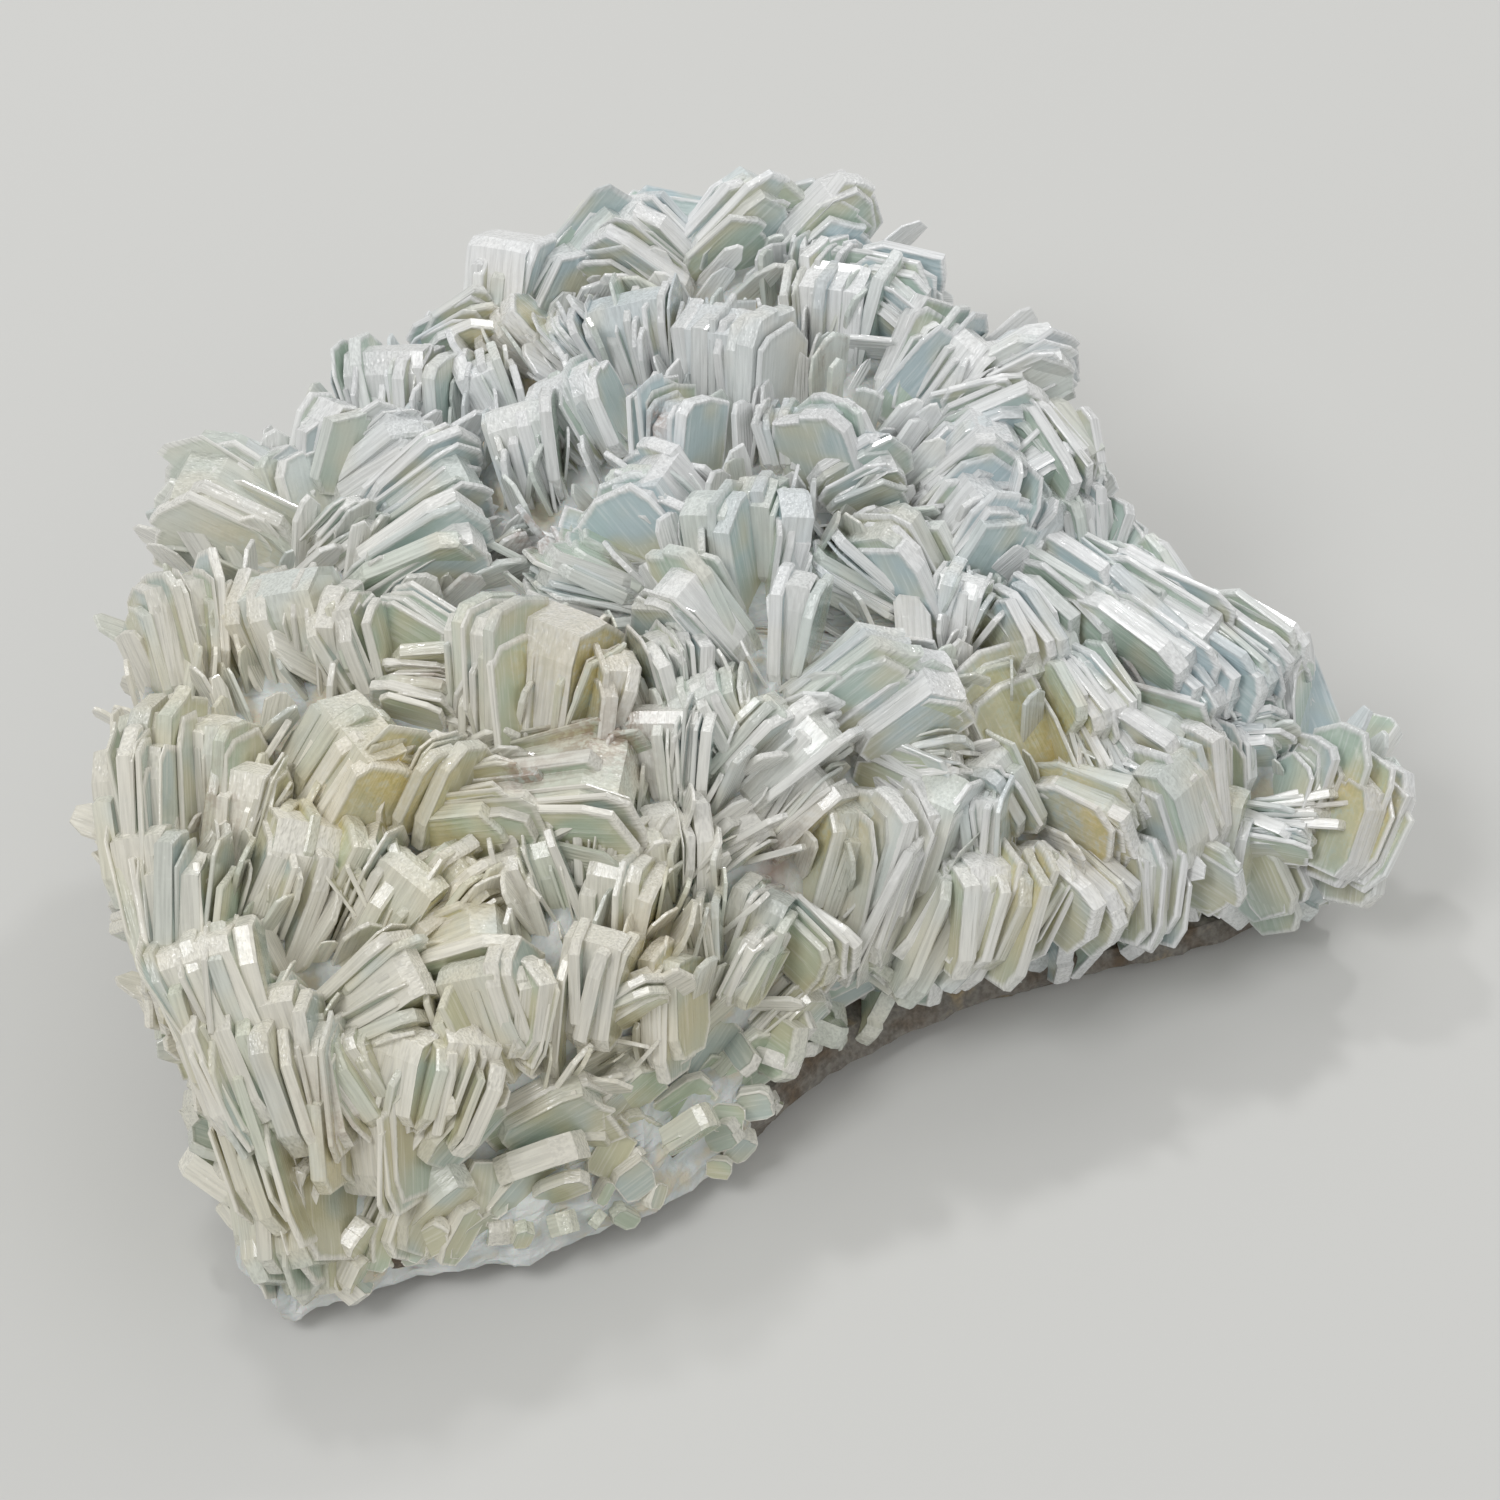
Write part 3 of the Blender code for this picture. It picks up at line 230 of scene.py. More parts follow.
# %% The books
BOOKS = (
    # West corner: large plates with a thick white edge, then a ragged thin fan.
    (-48.3, 22.3, None, 150, 10, -45, 16, 11, 2.2, 3, 3.8),
    (-54.0, 10.5, None, 100, 5, -25, 13, 8, 0.6, 7, 1.0),
    (-46.5, 10.5, None, 111, 25, 25, 14, 9, 2.0, 6, 3.0),
    (-37.5, 10.5, None, 112, 20, 25, 10, 8, 0.9, 3, 1.5),
    # North-west: ribbons that run up to the right, in three steps.
    (-34.5, 27.5, None, 38, 15, 30, 12, 9, 1.3, 3, 2.0),
    (-30.5, 24.0, None, 37, 15, 30, 12, 8, 1.2, 4, 1.9),
    (-31.0, 18.5, None, 30, 15, 40, 13, 8, 1.5, 2, 3.0),
    (-38.5, 21.0, None, 42, 20, 15, 7, 6, 0.7, 5, 1.1),
    (-39.5, 28.7, None, 75, 10, 45, 10, 7, 1.2, 2, 2.4),
    (-44.5, 26.0, None, 110, 10, 50, 8, 7, 1.2, 2, 2.2),
    (-33.5, 34.0, None, 98, 20, 20, 10, 7, 1.2, 6, 1.5),
    (-28.0, 41.0, None, 30, 10, 40, 9, 7, 0.8, 3, 1.2),
    (-23.5, 45.5, None, 84, 10, 30, 11, 8, 1.3, 4, 1.9),
    (-24.5, 33.8, None, 117, 15, 10, 8, 6, 0.9, 2, 2.2),
    (-21.0, 28.0, None, 108, 20, 10, 12, 6, 0.8, 4, 1.5),
    (-20.5, 38.0, None, 142, 20, 25, 10, 7, 1.2, 3, 2.0),
    # Far edge, from left to right.
    (-17.0, 50.5, None, 50, 10, 45, 11, 8, 1.0, 3, 1.7),
    (-8.5, 51.5, None, 172, 5, 62, 13, 8, 1.2, 2, 2.2),
    (-17.5, 44.0, None, 60, 15, 50, 9, 7, 1.0, 2, 2.5),
    (-10.0, 46.5, None, 142, 20, -35, 11, 8, 1.1, 5, 1.8),
    (-13.0, 46.0, None, 158, 20, -40, 8, 8, 1.4, 2, 2.0),
    (7.0, 49.5, None, 44, 12, 50, 12, 8, 1.6, 2, 2.6),
    (-1.5, 49.5, None, 45, 12, 40, 12, 8, 0.8, 5, 1.2),
    (2.5, 53.0, None, 8, 5, 60, 12, 7, 1.3, 2, 2.0),
    (8.0, 40.5, None, 88, 20, 20, 14, 8, 1.0, 6, 1.3),
    (6.8, 46.0, None, 95, 20, 40, 7, 6, 1.1, 2, 1.2),
    (13.5, 45.0, None, -14, 5, 58, 10, 7, 1.4, 2, 2.0),
    (15.5, 41.0, None, -42, 10, 20, 10, 7, 0.9, 3, 1.6),
    (16.0, 37.0, None, 60, -5, 55, 11, 7, 1.0, 2, 2.2),
    # Crown, left of the middle.
    (-17.0, 37.0, None, 138, 20, 20, 10, 7, 1.2, 3, 1.8),
    (-16.0, 32.0, None, 122, 20, 25, 10, 7, 1.0, 5, 1.5),
    (-10.5, 38.5, None, 108, 20, 20, 12, 7, 0.8, 6, 1.4),
    (-7.0, 31.0, None, 92, 15, 40, 10, 7, 1.0, 3, 2.0),
    (-16.0, 17.3, None, 162, 15, 15, 11, 7, 0.9, 5, 1.3),
    (-14.5, 21.0, None, 168, 12, 40, 10, 7, 1.1, 3, 1.7),
    (-10.0, 22.5, None, 125, 20, -62, 10, 8, 1.2, 2, 2.4),
    # Crown: white ribbons behind the middle, and the standing fan in it.
    (-1.5, 36.5, None, 92, 20, 35, 13, 8, 1.4, 4, 2.5),
    (3.5, 32.0, None, 97, 20, 15, 7, 6, 0.8, 4, 1.2),
    (7.3, 30.0, None, 110, 25, -50, 10, 8, 1.7, 2, 2.4),
    (11.0, 27.5, None, 32, 10, 30, 9, 7, 0.9, 4, 1.4),
    (-2.6, 19.0, None, 99, 25, 25, 14, 9, 1.5, 2, 2.6),
    (1.2, 21.0, None, 95, 25, 22, 12, 8, 1.3, 2, 2.2),
    (3.2, 20.0, None, 80, 25, -20, 12, 8, 1.3, 2, 1.8),
    (4.3, 11.5, None, 84, 25, 12, 13, 7, 1.1, 2, 1.6),
    (-8.5, 23.5, None, 133, 25, -30, 9, 9, 1.3, 3, 2.3),
    (-5.0, 12.0, None, 130, 25, -25, 13, 8, 1.0, 4, 1.6),
    # Crown, right of the middle: broad plates that lean to the right.
    (19.0, 34.8, None, 52, 15, 18, 12, 7, 0.8, 5, 1.2),
    (26.5, 37.0, None, 30, 15, 42, 10, 8, 2.4, 2, 3.0),
    (23.0, 32.5, None, 20, 15, 38, 9, 7, 1.2, 3, 2.0),
    (20.5, 26.5, None, 42, 15, 55, 14, 9, 2.4, 2, 3.5),
    (20.5, 20.5, None, 50, 20, 42, 13, 9, 1.5, 3, 2.8),
    (13.5, 17.0, None, 118, 25, -48, 13, 10, 1.3, 3, 2.2),
    (9.5, 17.5, None, 152, 20, 15, 10, 7, 0.8, 4, 1.1),
    (20.5, 14.5, None, 78, 25, 15, 8, 6, 1.2, 3, 1.9),
    (30.5, 30.0, None, -52, 15, 25, 10, 7, 1.4, 4, 1.6),
    (33.6, 29.0, None, -75, 10, 45, 7, 6, 1.3, 2, 1.6),
    (26.0, 21.0, None, 60, 20, -38, 11, 8, 1.5, 2, 2.6),
    (27.5, 27.5, None, 35, 15, 30, 8, 6, 1.1, 3, 1.7),
    (31.8, 22.0, None, 100, 20, -25, 8, 6, 1.0, 4, 1.5),
    (36.5, 21.5, None, 65, 10, -42, 7, 6, 1.4, 2, 1.6),
    # Right arm: long stacks that fall to the right.
    (31.0, 15.8, None, -32, 15, 35, 12, 8, 1.4, 3, 2.0),
    (37.5, 15.3, None, -28, 15, 35, 10, 8, 1.5, 2, 2.6),
    (40.5, 15.6, None, -58, 15, 38, 9, 6, 1.2, 2, 2.0),
    (39.5, 11.8, None, -32, 15, 35, 13, 9, 1.3, 4, 1.9),
    (33.0, 12.2, None, -48, 20, 38, 9, 8, 1.2, 2, 2.2),
    (48.0, 10.0, None, -35, 15, 38, 11, 8, 1.7, 3, 2.4),
    (43.5, 6.5, None, -45, 20, 48, 10, 8, 1.5, 3, 2.4),
    (27.8, 11.8, None, -55, 20, 35, 9, 7, 1.3, 4, 1.9),
    (45.0, 13.2, None, 152, -5, 70, 11, 8, 1.3, 2, 2.0),
    (51.3, 7.3, None, 118, -5, 66, 14, 8, 1.3, 2, 2.0),
    (51.5, 4.5, None, 100, 10, 30, 9, 6, 1.0, 4, 1.3),
    (24.5, 4.0, None, 120, 20, 66, 11, 9, 1.3, 2, 2.4),
    (31.8, 4.8, None, -57, 20, 30, 10, 8, 1.5, 3, 1.9),
    (32.5, -1.0, None, -62, 20, 20, 10, 6, 0.9, 4, 1.5),
    (38.5, 1.5, None, -22, 15, 35, 10, 8, 1.1, 3, 1.9),
    (40.3, -5.0, None, 108, 25, -42, 12, 9, 1.5, 3, 2.6),
    (45.3, -1.5, None, 92, 20, -56, 8, 6, 1.3, 2, 2.2),
    (32.0, -5.5, None, -22, 20, 40, 11, 8, 1.1, 3, 1.9),
    (48.5, 1.8, None, 8, 15, 30, 7, 5, 0.9, 4, 1.1),
    # Left end: long blades seen from the side, rising from the near corner.
    (-58.8, -6.3, None, 95, 5, 15, 14, 8, 2.0, 3, 2.4),
    (-55.5, -2.5, None, 95, 5, 20, 14, 8, 1.6, 3, 2.0),
    (-50.5, -3.0, None, 90, 10, 30, 14, 8, 2.2, 2, 3.0),
    (-53.5, -15.5, None, 92, 5, 15, 13, 7, 1.3, 3, 1.9),
    (-47.5, -7.5, None, 82, 10, 15, 14, 7, 1.0, 4, 1.6),
    (-57.8, -14.0, None, 99, 0, 20, 13, 7, 1.3, 3, 1.9),
    (-43.8, -12.0, None, 68, 15, -30, 14, 8, 1.8, 3, 2.8),
    (-38.0, -2.0, None, 58, 20, 40, 14, 9, 1.7, 3, 3.5),
    (-30.5, -3.0, None, 63, 20, 25, 10, 7, 1.0, 4, 1.4),
    (-36.5, -11.5, None, 115, 20, 12, 7, 6, 1.0, 3, 1.5),
    (-31.0, 12.0, None, -35, 15, 55, 9, 7, 1.0, 2, 2.5),
    (-31.5, 8.0, None, -5, 10, 25, 8, 6, 0.7, 5, 1.3),
    # Left of the middle: tall six-sided blades, flat ones under them, and narrow sheaves.
    (-24.0, 7.5, None, 93, 20, 35, 14, 9, 2.1, 2, 3.6),
    (-18.0, 6.5, None, 82, 20, 33, 16, 10, 1.9, 3, 2.8),
    (-14.8, 4.0, None, 78, 20, -28, 13, 8, 1.1, 2, 1.8),
    (-17.5, -4.5, None, 8, 20, 45, 15, 10, 1.4, 4, 2.2),
    (-25.0, -6.5, None, 8, 20, 48, 11, 8, 1.4, 3, 2.4),
    (-34.0, -16.0, None, 58, 25, 15, 15, 7, 1.1, 4, 1.7),
    (-29.0, -14.5, None, 48, 25, 15, 12, 7, 1.1, 4, 1.8),
    (-35.5, -23.5, None, 36, 20, 20, 13, 7, 1.3, 4, 1.7),
    (-27.0, -18.5, None, 22, 20, 40, 10, 8, 1.3, 2, 2.3),
    (-22.5, -14.5, None, 113, 25, 12, 12, 7, 1.4, 3, 1.8),
    (-18.8, -12.5, None, 110, 25, 12, 13, 7, 1.1, 3, 1.4),
    # Middle of the near half.
    (-7.8, 7.5, None, 97, 20, -20, 10, 7, 1.0, 3, 1.4),
    (-7.5, 0.0, None, 95, 20, 15, 10, 6, 0.8, 6, 1.2),
    (-0.3, 4.2, None, 105, 25, 12, 6, 6, 1.2, 2, 1.2),
    (-4.0, 3.5, None, 120, 20, 15, 8, 6, 0.9, 4, 1.4),
    (-0.5, 0.7, None, 45, 15, 12, 12, 8, 1.5, 2, 1.6),
    (3.5, -1.2, None, 45, 15, 12, 13, 8, 1.6, 3, 1.65),
    (4.0, -5.0, None, 50, 20, 15, 10, 6, 1.0, 3, 1.6),
    (-1.5, -8.5, None, 40, 15, 15, 8, 6, 0.9, 4, 1.2),
    (10.0, 6.5, None, 38, 15, 48, 14, 9, 2.0, 2, 2.6),
    (15.0, 4.0, None, 36, 15, 42, 13, 9, 1.3, 3, 2.4),
    (18.0, -0.2, None, 12, 15, 20, 8, 6, 0.7, 5, 0.9),
    (14.5, -3.0, None, -25, 15, 55, 9, 7, 1.2, 2, 2.2),
    (8.2, -9.0, None, 72, 25, -38, 13, 9, 1.4, 2, 3.4),
    (12.0, -9.5, None, 72, 25, -45, 13, 9, 2.0, 2, 3.0),
    (15.2, -13.5, None, 69, 20, 15, 16, 9, 3.3, 1, 4.0),
    (18.5, -11.0, None, 75, 25, 20, 15, 8, 1.5, 3, 1.9),
    (23.5, -3.5, None, 118, 25, -30, 8, 7, 1.3, 3, 1.6),
    (23.0, -8.0, None, 92, 25, 20, 10, 7, 1.3, 3, 1.7),
    (0.8, -17.0, None, 72, 25, 12, 10, 7, 1.6, 3, 1.7),
    (-4.5, -17.5, None, 98, 25, 12, 7, 6, 1.0, 2, 1.5),
    (-8.5, -12.0, None, 92, 25, -20, 17, 9, 1.4, 2, 2.0),
    (-12.0, -15.0, None, 88, 25, 20, 13, 8, 1.6, 3, 1.9),
    (-6.0, -9.5, None, 90, 20, 15, 10, 7, 1.3, 2, 1.7),
    (-13.5, -9.5, None, 85, 20, 25, 8, 7, 0.9, 4, 1.2),
    (7.5, -19.5, None, -42, 20, 42, 9, 7, 1.1, 2, 2.0),
    (-14.8, -23.5, None, 82, 25, 15, 13, 7, 1.2, 4, 1.5),
    (-22.0, -25.0, None, 85, 20, -38, 10, 7, 1.1, 2, 2.2),
    (-9.0, -25.5, None, 32, 20, 20, 7, 6, 1.0, 3, 1.2),
    (-4.0, -25.0, None, 92, 15, 30, 11, 8, 1.3, 3, 1.9),
    (2.5, -22.0, None, 62, 20, 20, 8, 6, 1.1, 3, 1.5),
    # Near corner: blades that spread from the white root.
    (-51.5, -24.0, None, 112, 15, 15, 13, 8, 1.5, 5, 1.8),
    (-46.0, -29.0, None, 108, 15, 15, 13, 8, 1.6, 5, 1.8),
    (-50.5, -32.0, 28, 112, 5, 25, 12, 8, 1.6, 3, 2.2),
    (-43.0, -34.5, 26, 100, 15, 15, 13, 8, 1.7, 4, 2.0),
    (-38.0, -31.0, None, 122, 20, 20, 9, 7, 1.3, 3, 1.7),
    (-33.0, -30.0, 24, 80, 20, 28, 10, 7, 1.4, 4, 1.8),
    (-28.5, -30.5, 24, 70, 20, -32, 10, 7, 1.5, 3, 2.0),
    (-25.0, -25.0, None, 112, 20, 28, 11, 7, 1.5, 3, 2.2),
    # Near wall, left to right.
    (-28.5, -35.5, 19, 48, 10, 30, 10, 8, 1.9, 3, 2.5),
    (-35.0, -37.0, 18, 95, 10, 30, 10, 8, 1.9, 2, 3.0),
    (-19.0, -33.5, 16, 28, 10, 38, 11, 9, 2.1, 2, 3.2),
    (-12.0, -31.0, 15, 42, 10, 28, 9, 8, 1.9, 2, 2.6),
    (4.5, -26.5, 14, 48, 15, 25, 10, 7, 1.5, 3, 1.9),
    (12.0, -23.0, 14, 30, 10, 48, 8, 7, 1.4, 2, 2.0),
    (19.5, -18.0, 18, 60, 15, -25, 12, 8, 1.3, 4, 1.9),
    (23.5, -14.5, 22, 78, 20, -32, 12, 9, 1.6, 3, 2.8),
    (27.7, -14.0, 20, 62, 15, -38, 10, 8, 1.6, 3, 2.0),
    (33.2, -14.3, 18, -42, 15, 38, 10, 8, 1.6, 2, 2.6),
    (38.3, -14.3, 17, 88, 15, -42, 10, 8, 1.7, 2, 2.6),
    (43.5, -13.3, 16, -33, 10, 50, 12, 8, 1.7, 1, 2.0),
    (50.0, -13.0, 10, 115, 10, -55, 8, 6, 1.4, 2, 1.8),
    (55.5, -13.6, 6, -10, 10, 38, 5, 5, 1.6, 2, 1.9),
    (46.3, -9.5, 18, 80, 20, 15, 8, 6, 1.0, 4, 1.5),
    (51.0, -8.0, 16, -3, 10, 28, 8, 6, 0.8, 4, 1.3),
    (59.3, -6.3, 17, 72, 10, -50, 11, 8, 1.5, 4, 2.0),
    (54.7, -3.0, 20, 70, 15, -42, 8, 6, 1.1, 3, 1.6),
    (60.4, -8.0, 12, 75, 5, -50, 10, 7, 1.5, 2, 2.0),
    (29.5, -20.5, 6, -15, 10, 45, 6, 5, 1.4, 1, 2.0),
    # Stout crystals low on the near wall, down to the near corner.
    (-46.0, -38.5, 18, 108, 0, 22, 12, 9, 2.4, 2, 3.2),
    (-43.5, -43.5, 13, 98, -5, 25, 12, 9, 2.6, 2, 3.6),
    (-40.5, -47.5, 8, 80, 0, 32, 9, 8, 2.4, 2, 3.0),
    (-31.5, -44.0, 10, 65, 0, 42, 10, 8, 2.4, 2, 3.2),
    (-22.0, -42.0, 9, 50, 0, 48, 11, 8, 2.4, 2, 3.2),
    (-12.5, -38.0, 9, 45, 0, 48, 10, 8, 2.2, 2, 3.2),
    (-3.5, -33.0, 9, 50, 0, 45, 9, 7, 2.0, 2, 3.0),
)
print(len(BOOKS), "books,", sum(row[9] for row in BOOKS), "blades in them")

# %% [markdown]
# Finishes differ over the cluster. Some books are frosted white all over, and iron-rich water has left
# ochre in certain hollows. Deep holes between the blades get painted shade, as small dark brown spots.
# Each is noted here as a place in the front view with a radius in mm. A place becomes a point in space
# a little below the tips, so a stain or a painted shade spreads round that point on every face near
# it, seen from any side.

# %% Where the finish changes
FROSTED = (
    (-53.0, 25.0, 8), (-42, 11, 4), (-4, 36, 5), (0, 37, 4), (26.5, 37.5, 4), (14.5, -15, 6),
    (3, -1, 4), (43, -14, 4), (-42, -45, 7), (-34, 26, 5), (33, -14, 3), (-17, -36, 6),
)
STAINED = (
    (-16.5, 8, 5, 1.0), (-33, -3, 4, 0.9), (-38, -4, 4, 0.9), (1.5, 38, 3, 0.6), (-22, 38, 4, 0.7),
    (29.5, 0, 4, 0.8), (43, -3, 4, 0.8), (57, -6, 4, 0.9), (27, -10, 4, 0.7), (31.5, -8, 4, 0.8),
    (31, -19, 4, 0.8), (7.5, -8, 4, 0.8), (38, -14, 4, 0.8), (-29, -15, 4, 0.7), (-3, -25, 4, 0.8),
    (-8.5, -17, 4, 0.7), (-9, 44, 4, 0.4), (13.5, 12, 3, 0.7), (-47, 21, 4, 0.6), (-50, 10, 4, 0.6),
    (-40, -42, 5, 0.7), (20, 2, 4, 0.5), (24, 8, 4, 0.5), (-12, -38, 5, 0.6), (8, -27, 5, 0.6),
)
# Painted shade: small dark brown spots in the deep holes between the blades.
SHADED_HOLES = (
    (-8.5, 30.5, 2, 1.0), (8.3, 36.5, 2, 1.0), (-51, -5.5, 2, 0.9), (-21, -2, 2, 0.9),
    (-13.5, 1, 3, 0.8), (2.5, -11.5, 2, 0.8), (-20.5, 20.5, 2, 0.8), (-25.5, 15.5, 2, 0.8),
    (-39, -35, 2, 0.5), (36, 7, 2, 0.6), (-31, 8, 2, 0.7),
)
SPOT_SINK, SPOT_REACH = 2.5, 1.6


def spots_in_space(spots):
    """Each spot as its point in space, its radius and its strength."""
    made = []
    for right, up, radius, *strength in spots:
        place = crown_point(right, up) - view_axes()[2] * SPOT_SINK
        made.append((place, radius, strength[0] if strength else 1.0))
    return made


def nearness_to(spots, points):
    """For each point, how strongly the nearest spots mark it: 1 at a spot's middle, 0 outside."""
    strongest = np.zeros(len(points))
    for place, radius, strength in spots:
        away = np.linalg.norm(points - place, axis=1) / (radius * SPOT_REACH)
        mark = strength * np.clip(1.0 - away ** 2, 0.0, 1.0)
        strongest = np.maximum(strongest, mark)
    return strongest


frosted_spots = spots_in_space(FROSTED)
stained_spots = spots_in_space(STAINED)
shaded_hole_places = spots_in_space(SHADED_HOLES)
print(len(stained_spots), "ochre places,", len(shaded_hole_places), "shaded holes")

# %% [markdown]
# Barite crystal skin. Barite is colourless and glassy when perfect (refractive index 1.64), but
# these blades are milky with tiny inclusions. Scattering below the surface would give that, but
# over hundreds of thin blades it costs a quarter of the render and shows little, so pale colours
# under a clear coat stand for it. Rims were etched while the crystal grew, so they are frosted
# white and finely striated along the blade. Each blade carries its own coordinates, so striations
# turn with it, and its own random number, so that no two have the same tint.
# Real striations are 0.05 to 0.2 mm apart; they are drawn at 0.3 mm so that they can be seen.

# %% Barite crystal skin
MILKY_GREEN, MILKY_BLUE, MILKY_WARM = "#ABC3B0", "#ABC3CA", "#CBC8A6"
FROST_WHITE, WARM_SIDE_WHITE = "#F7F8F9", "#FCF5E2"
# Painted shade: the olive that blade faces take deep in the gaps between the books.
GAP_SHADE_OLIVE = "#BDB78F"
# The dark brown here is painted shade for deep holes; the ochre and the olive are real stains.
OCHRE, OLIVE, HOLE_SHADE_BROWN = "#DDB838", "#BCA64E", "#7A4A20"
BARITE_IOR, POLISH, POLISH_ROUGHNESS = 1.64, 0.8, 0.08
STRIATION_MM, CLOUD_MM, FLECK_MM = 0.3, 6.0, 0.9
STRIATION_STRETCH, STRIATION_SHIFT = (0.06, 1.0, 1.0), 90.0
# The way along which the colour turns warmer towards the near left, and where that begins and ends.
WARM_SIDE_AXIS, WARM_SIDE_RANGE = (0.55, 0.85, 0.0), (8 * MM, -42 * MM, 0.0, 0.9)
GROOVE_STRENGTH, GROOVE_DEPTH = 0.9, 0.24 * MM
FRESH_CHANCE, DARK_CHANCE = 7, 31
ATTRIBUTE, MATH, VECTOR_MATH = "ShaderNodeAttribute", "ShaderNodeMath", "ShaderNodeVectorMath"
NOISE, MIX, RANGE = "ShaderNodeTexNoise", "ShaderNodeMix", "ShaderNodeMapRange"
PLUS, TIMES, LARGER, FRACTION = (
    {"operation": word} for word in ("ADD", "MULTIPLY", "MAXIMUM", "FRACT"))
SOFT = {"interpolation_type": "SMOOTHSTEP"}


def new_skin(name):
    """A material, a way to add nodes to it, and the Object coordinates that its patterns use."""
    material = bpy.data.materials.new(name)
    material.use_nodes = True
    add = partial(add_node, material.node_tree)
    return material, add, add("ShaderNodeTexCoord", "Object")


def patterns(add, place, grains):
    """One noise for each grain, which is its size in mm, its detail and its roughness."""
    return [add(NOISE, "Fac", {"Vector": place, "Scale": 1 / (size * MM), "Detail": detail,
                               "Roughness": rough}) for size, detail, rough in grains]


def layered(add, colour, layers):
    """A colour under layers of others. A layer is its share, its colour and its way of mixing."""
    colour = linear(colour)
    for share, over, way in layers:
        over = linear(over) if isinstance(over, str) else over
        colour = add(MIX, 2, {0: share, 6: colour, 7: over}, data_type="RGBA", blend_type=way)
    return colour


def finish_skin(material, height, strength, distance, inputs):
    """Fills the shader's own inputs, and bends its normals by the slope of a height."""
    tree = material.node_tree
    bump = {"Strength": strength, "Distance": distance, "Height": height}
    inputs["Normal"] = add_node(tree, "ShaderNodeBump", "Normal", bump)
    fill(tree, tree.nodes["Principled BSDF"], inputs)
    return material


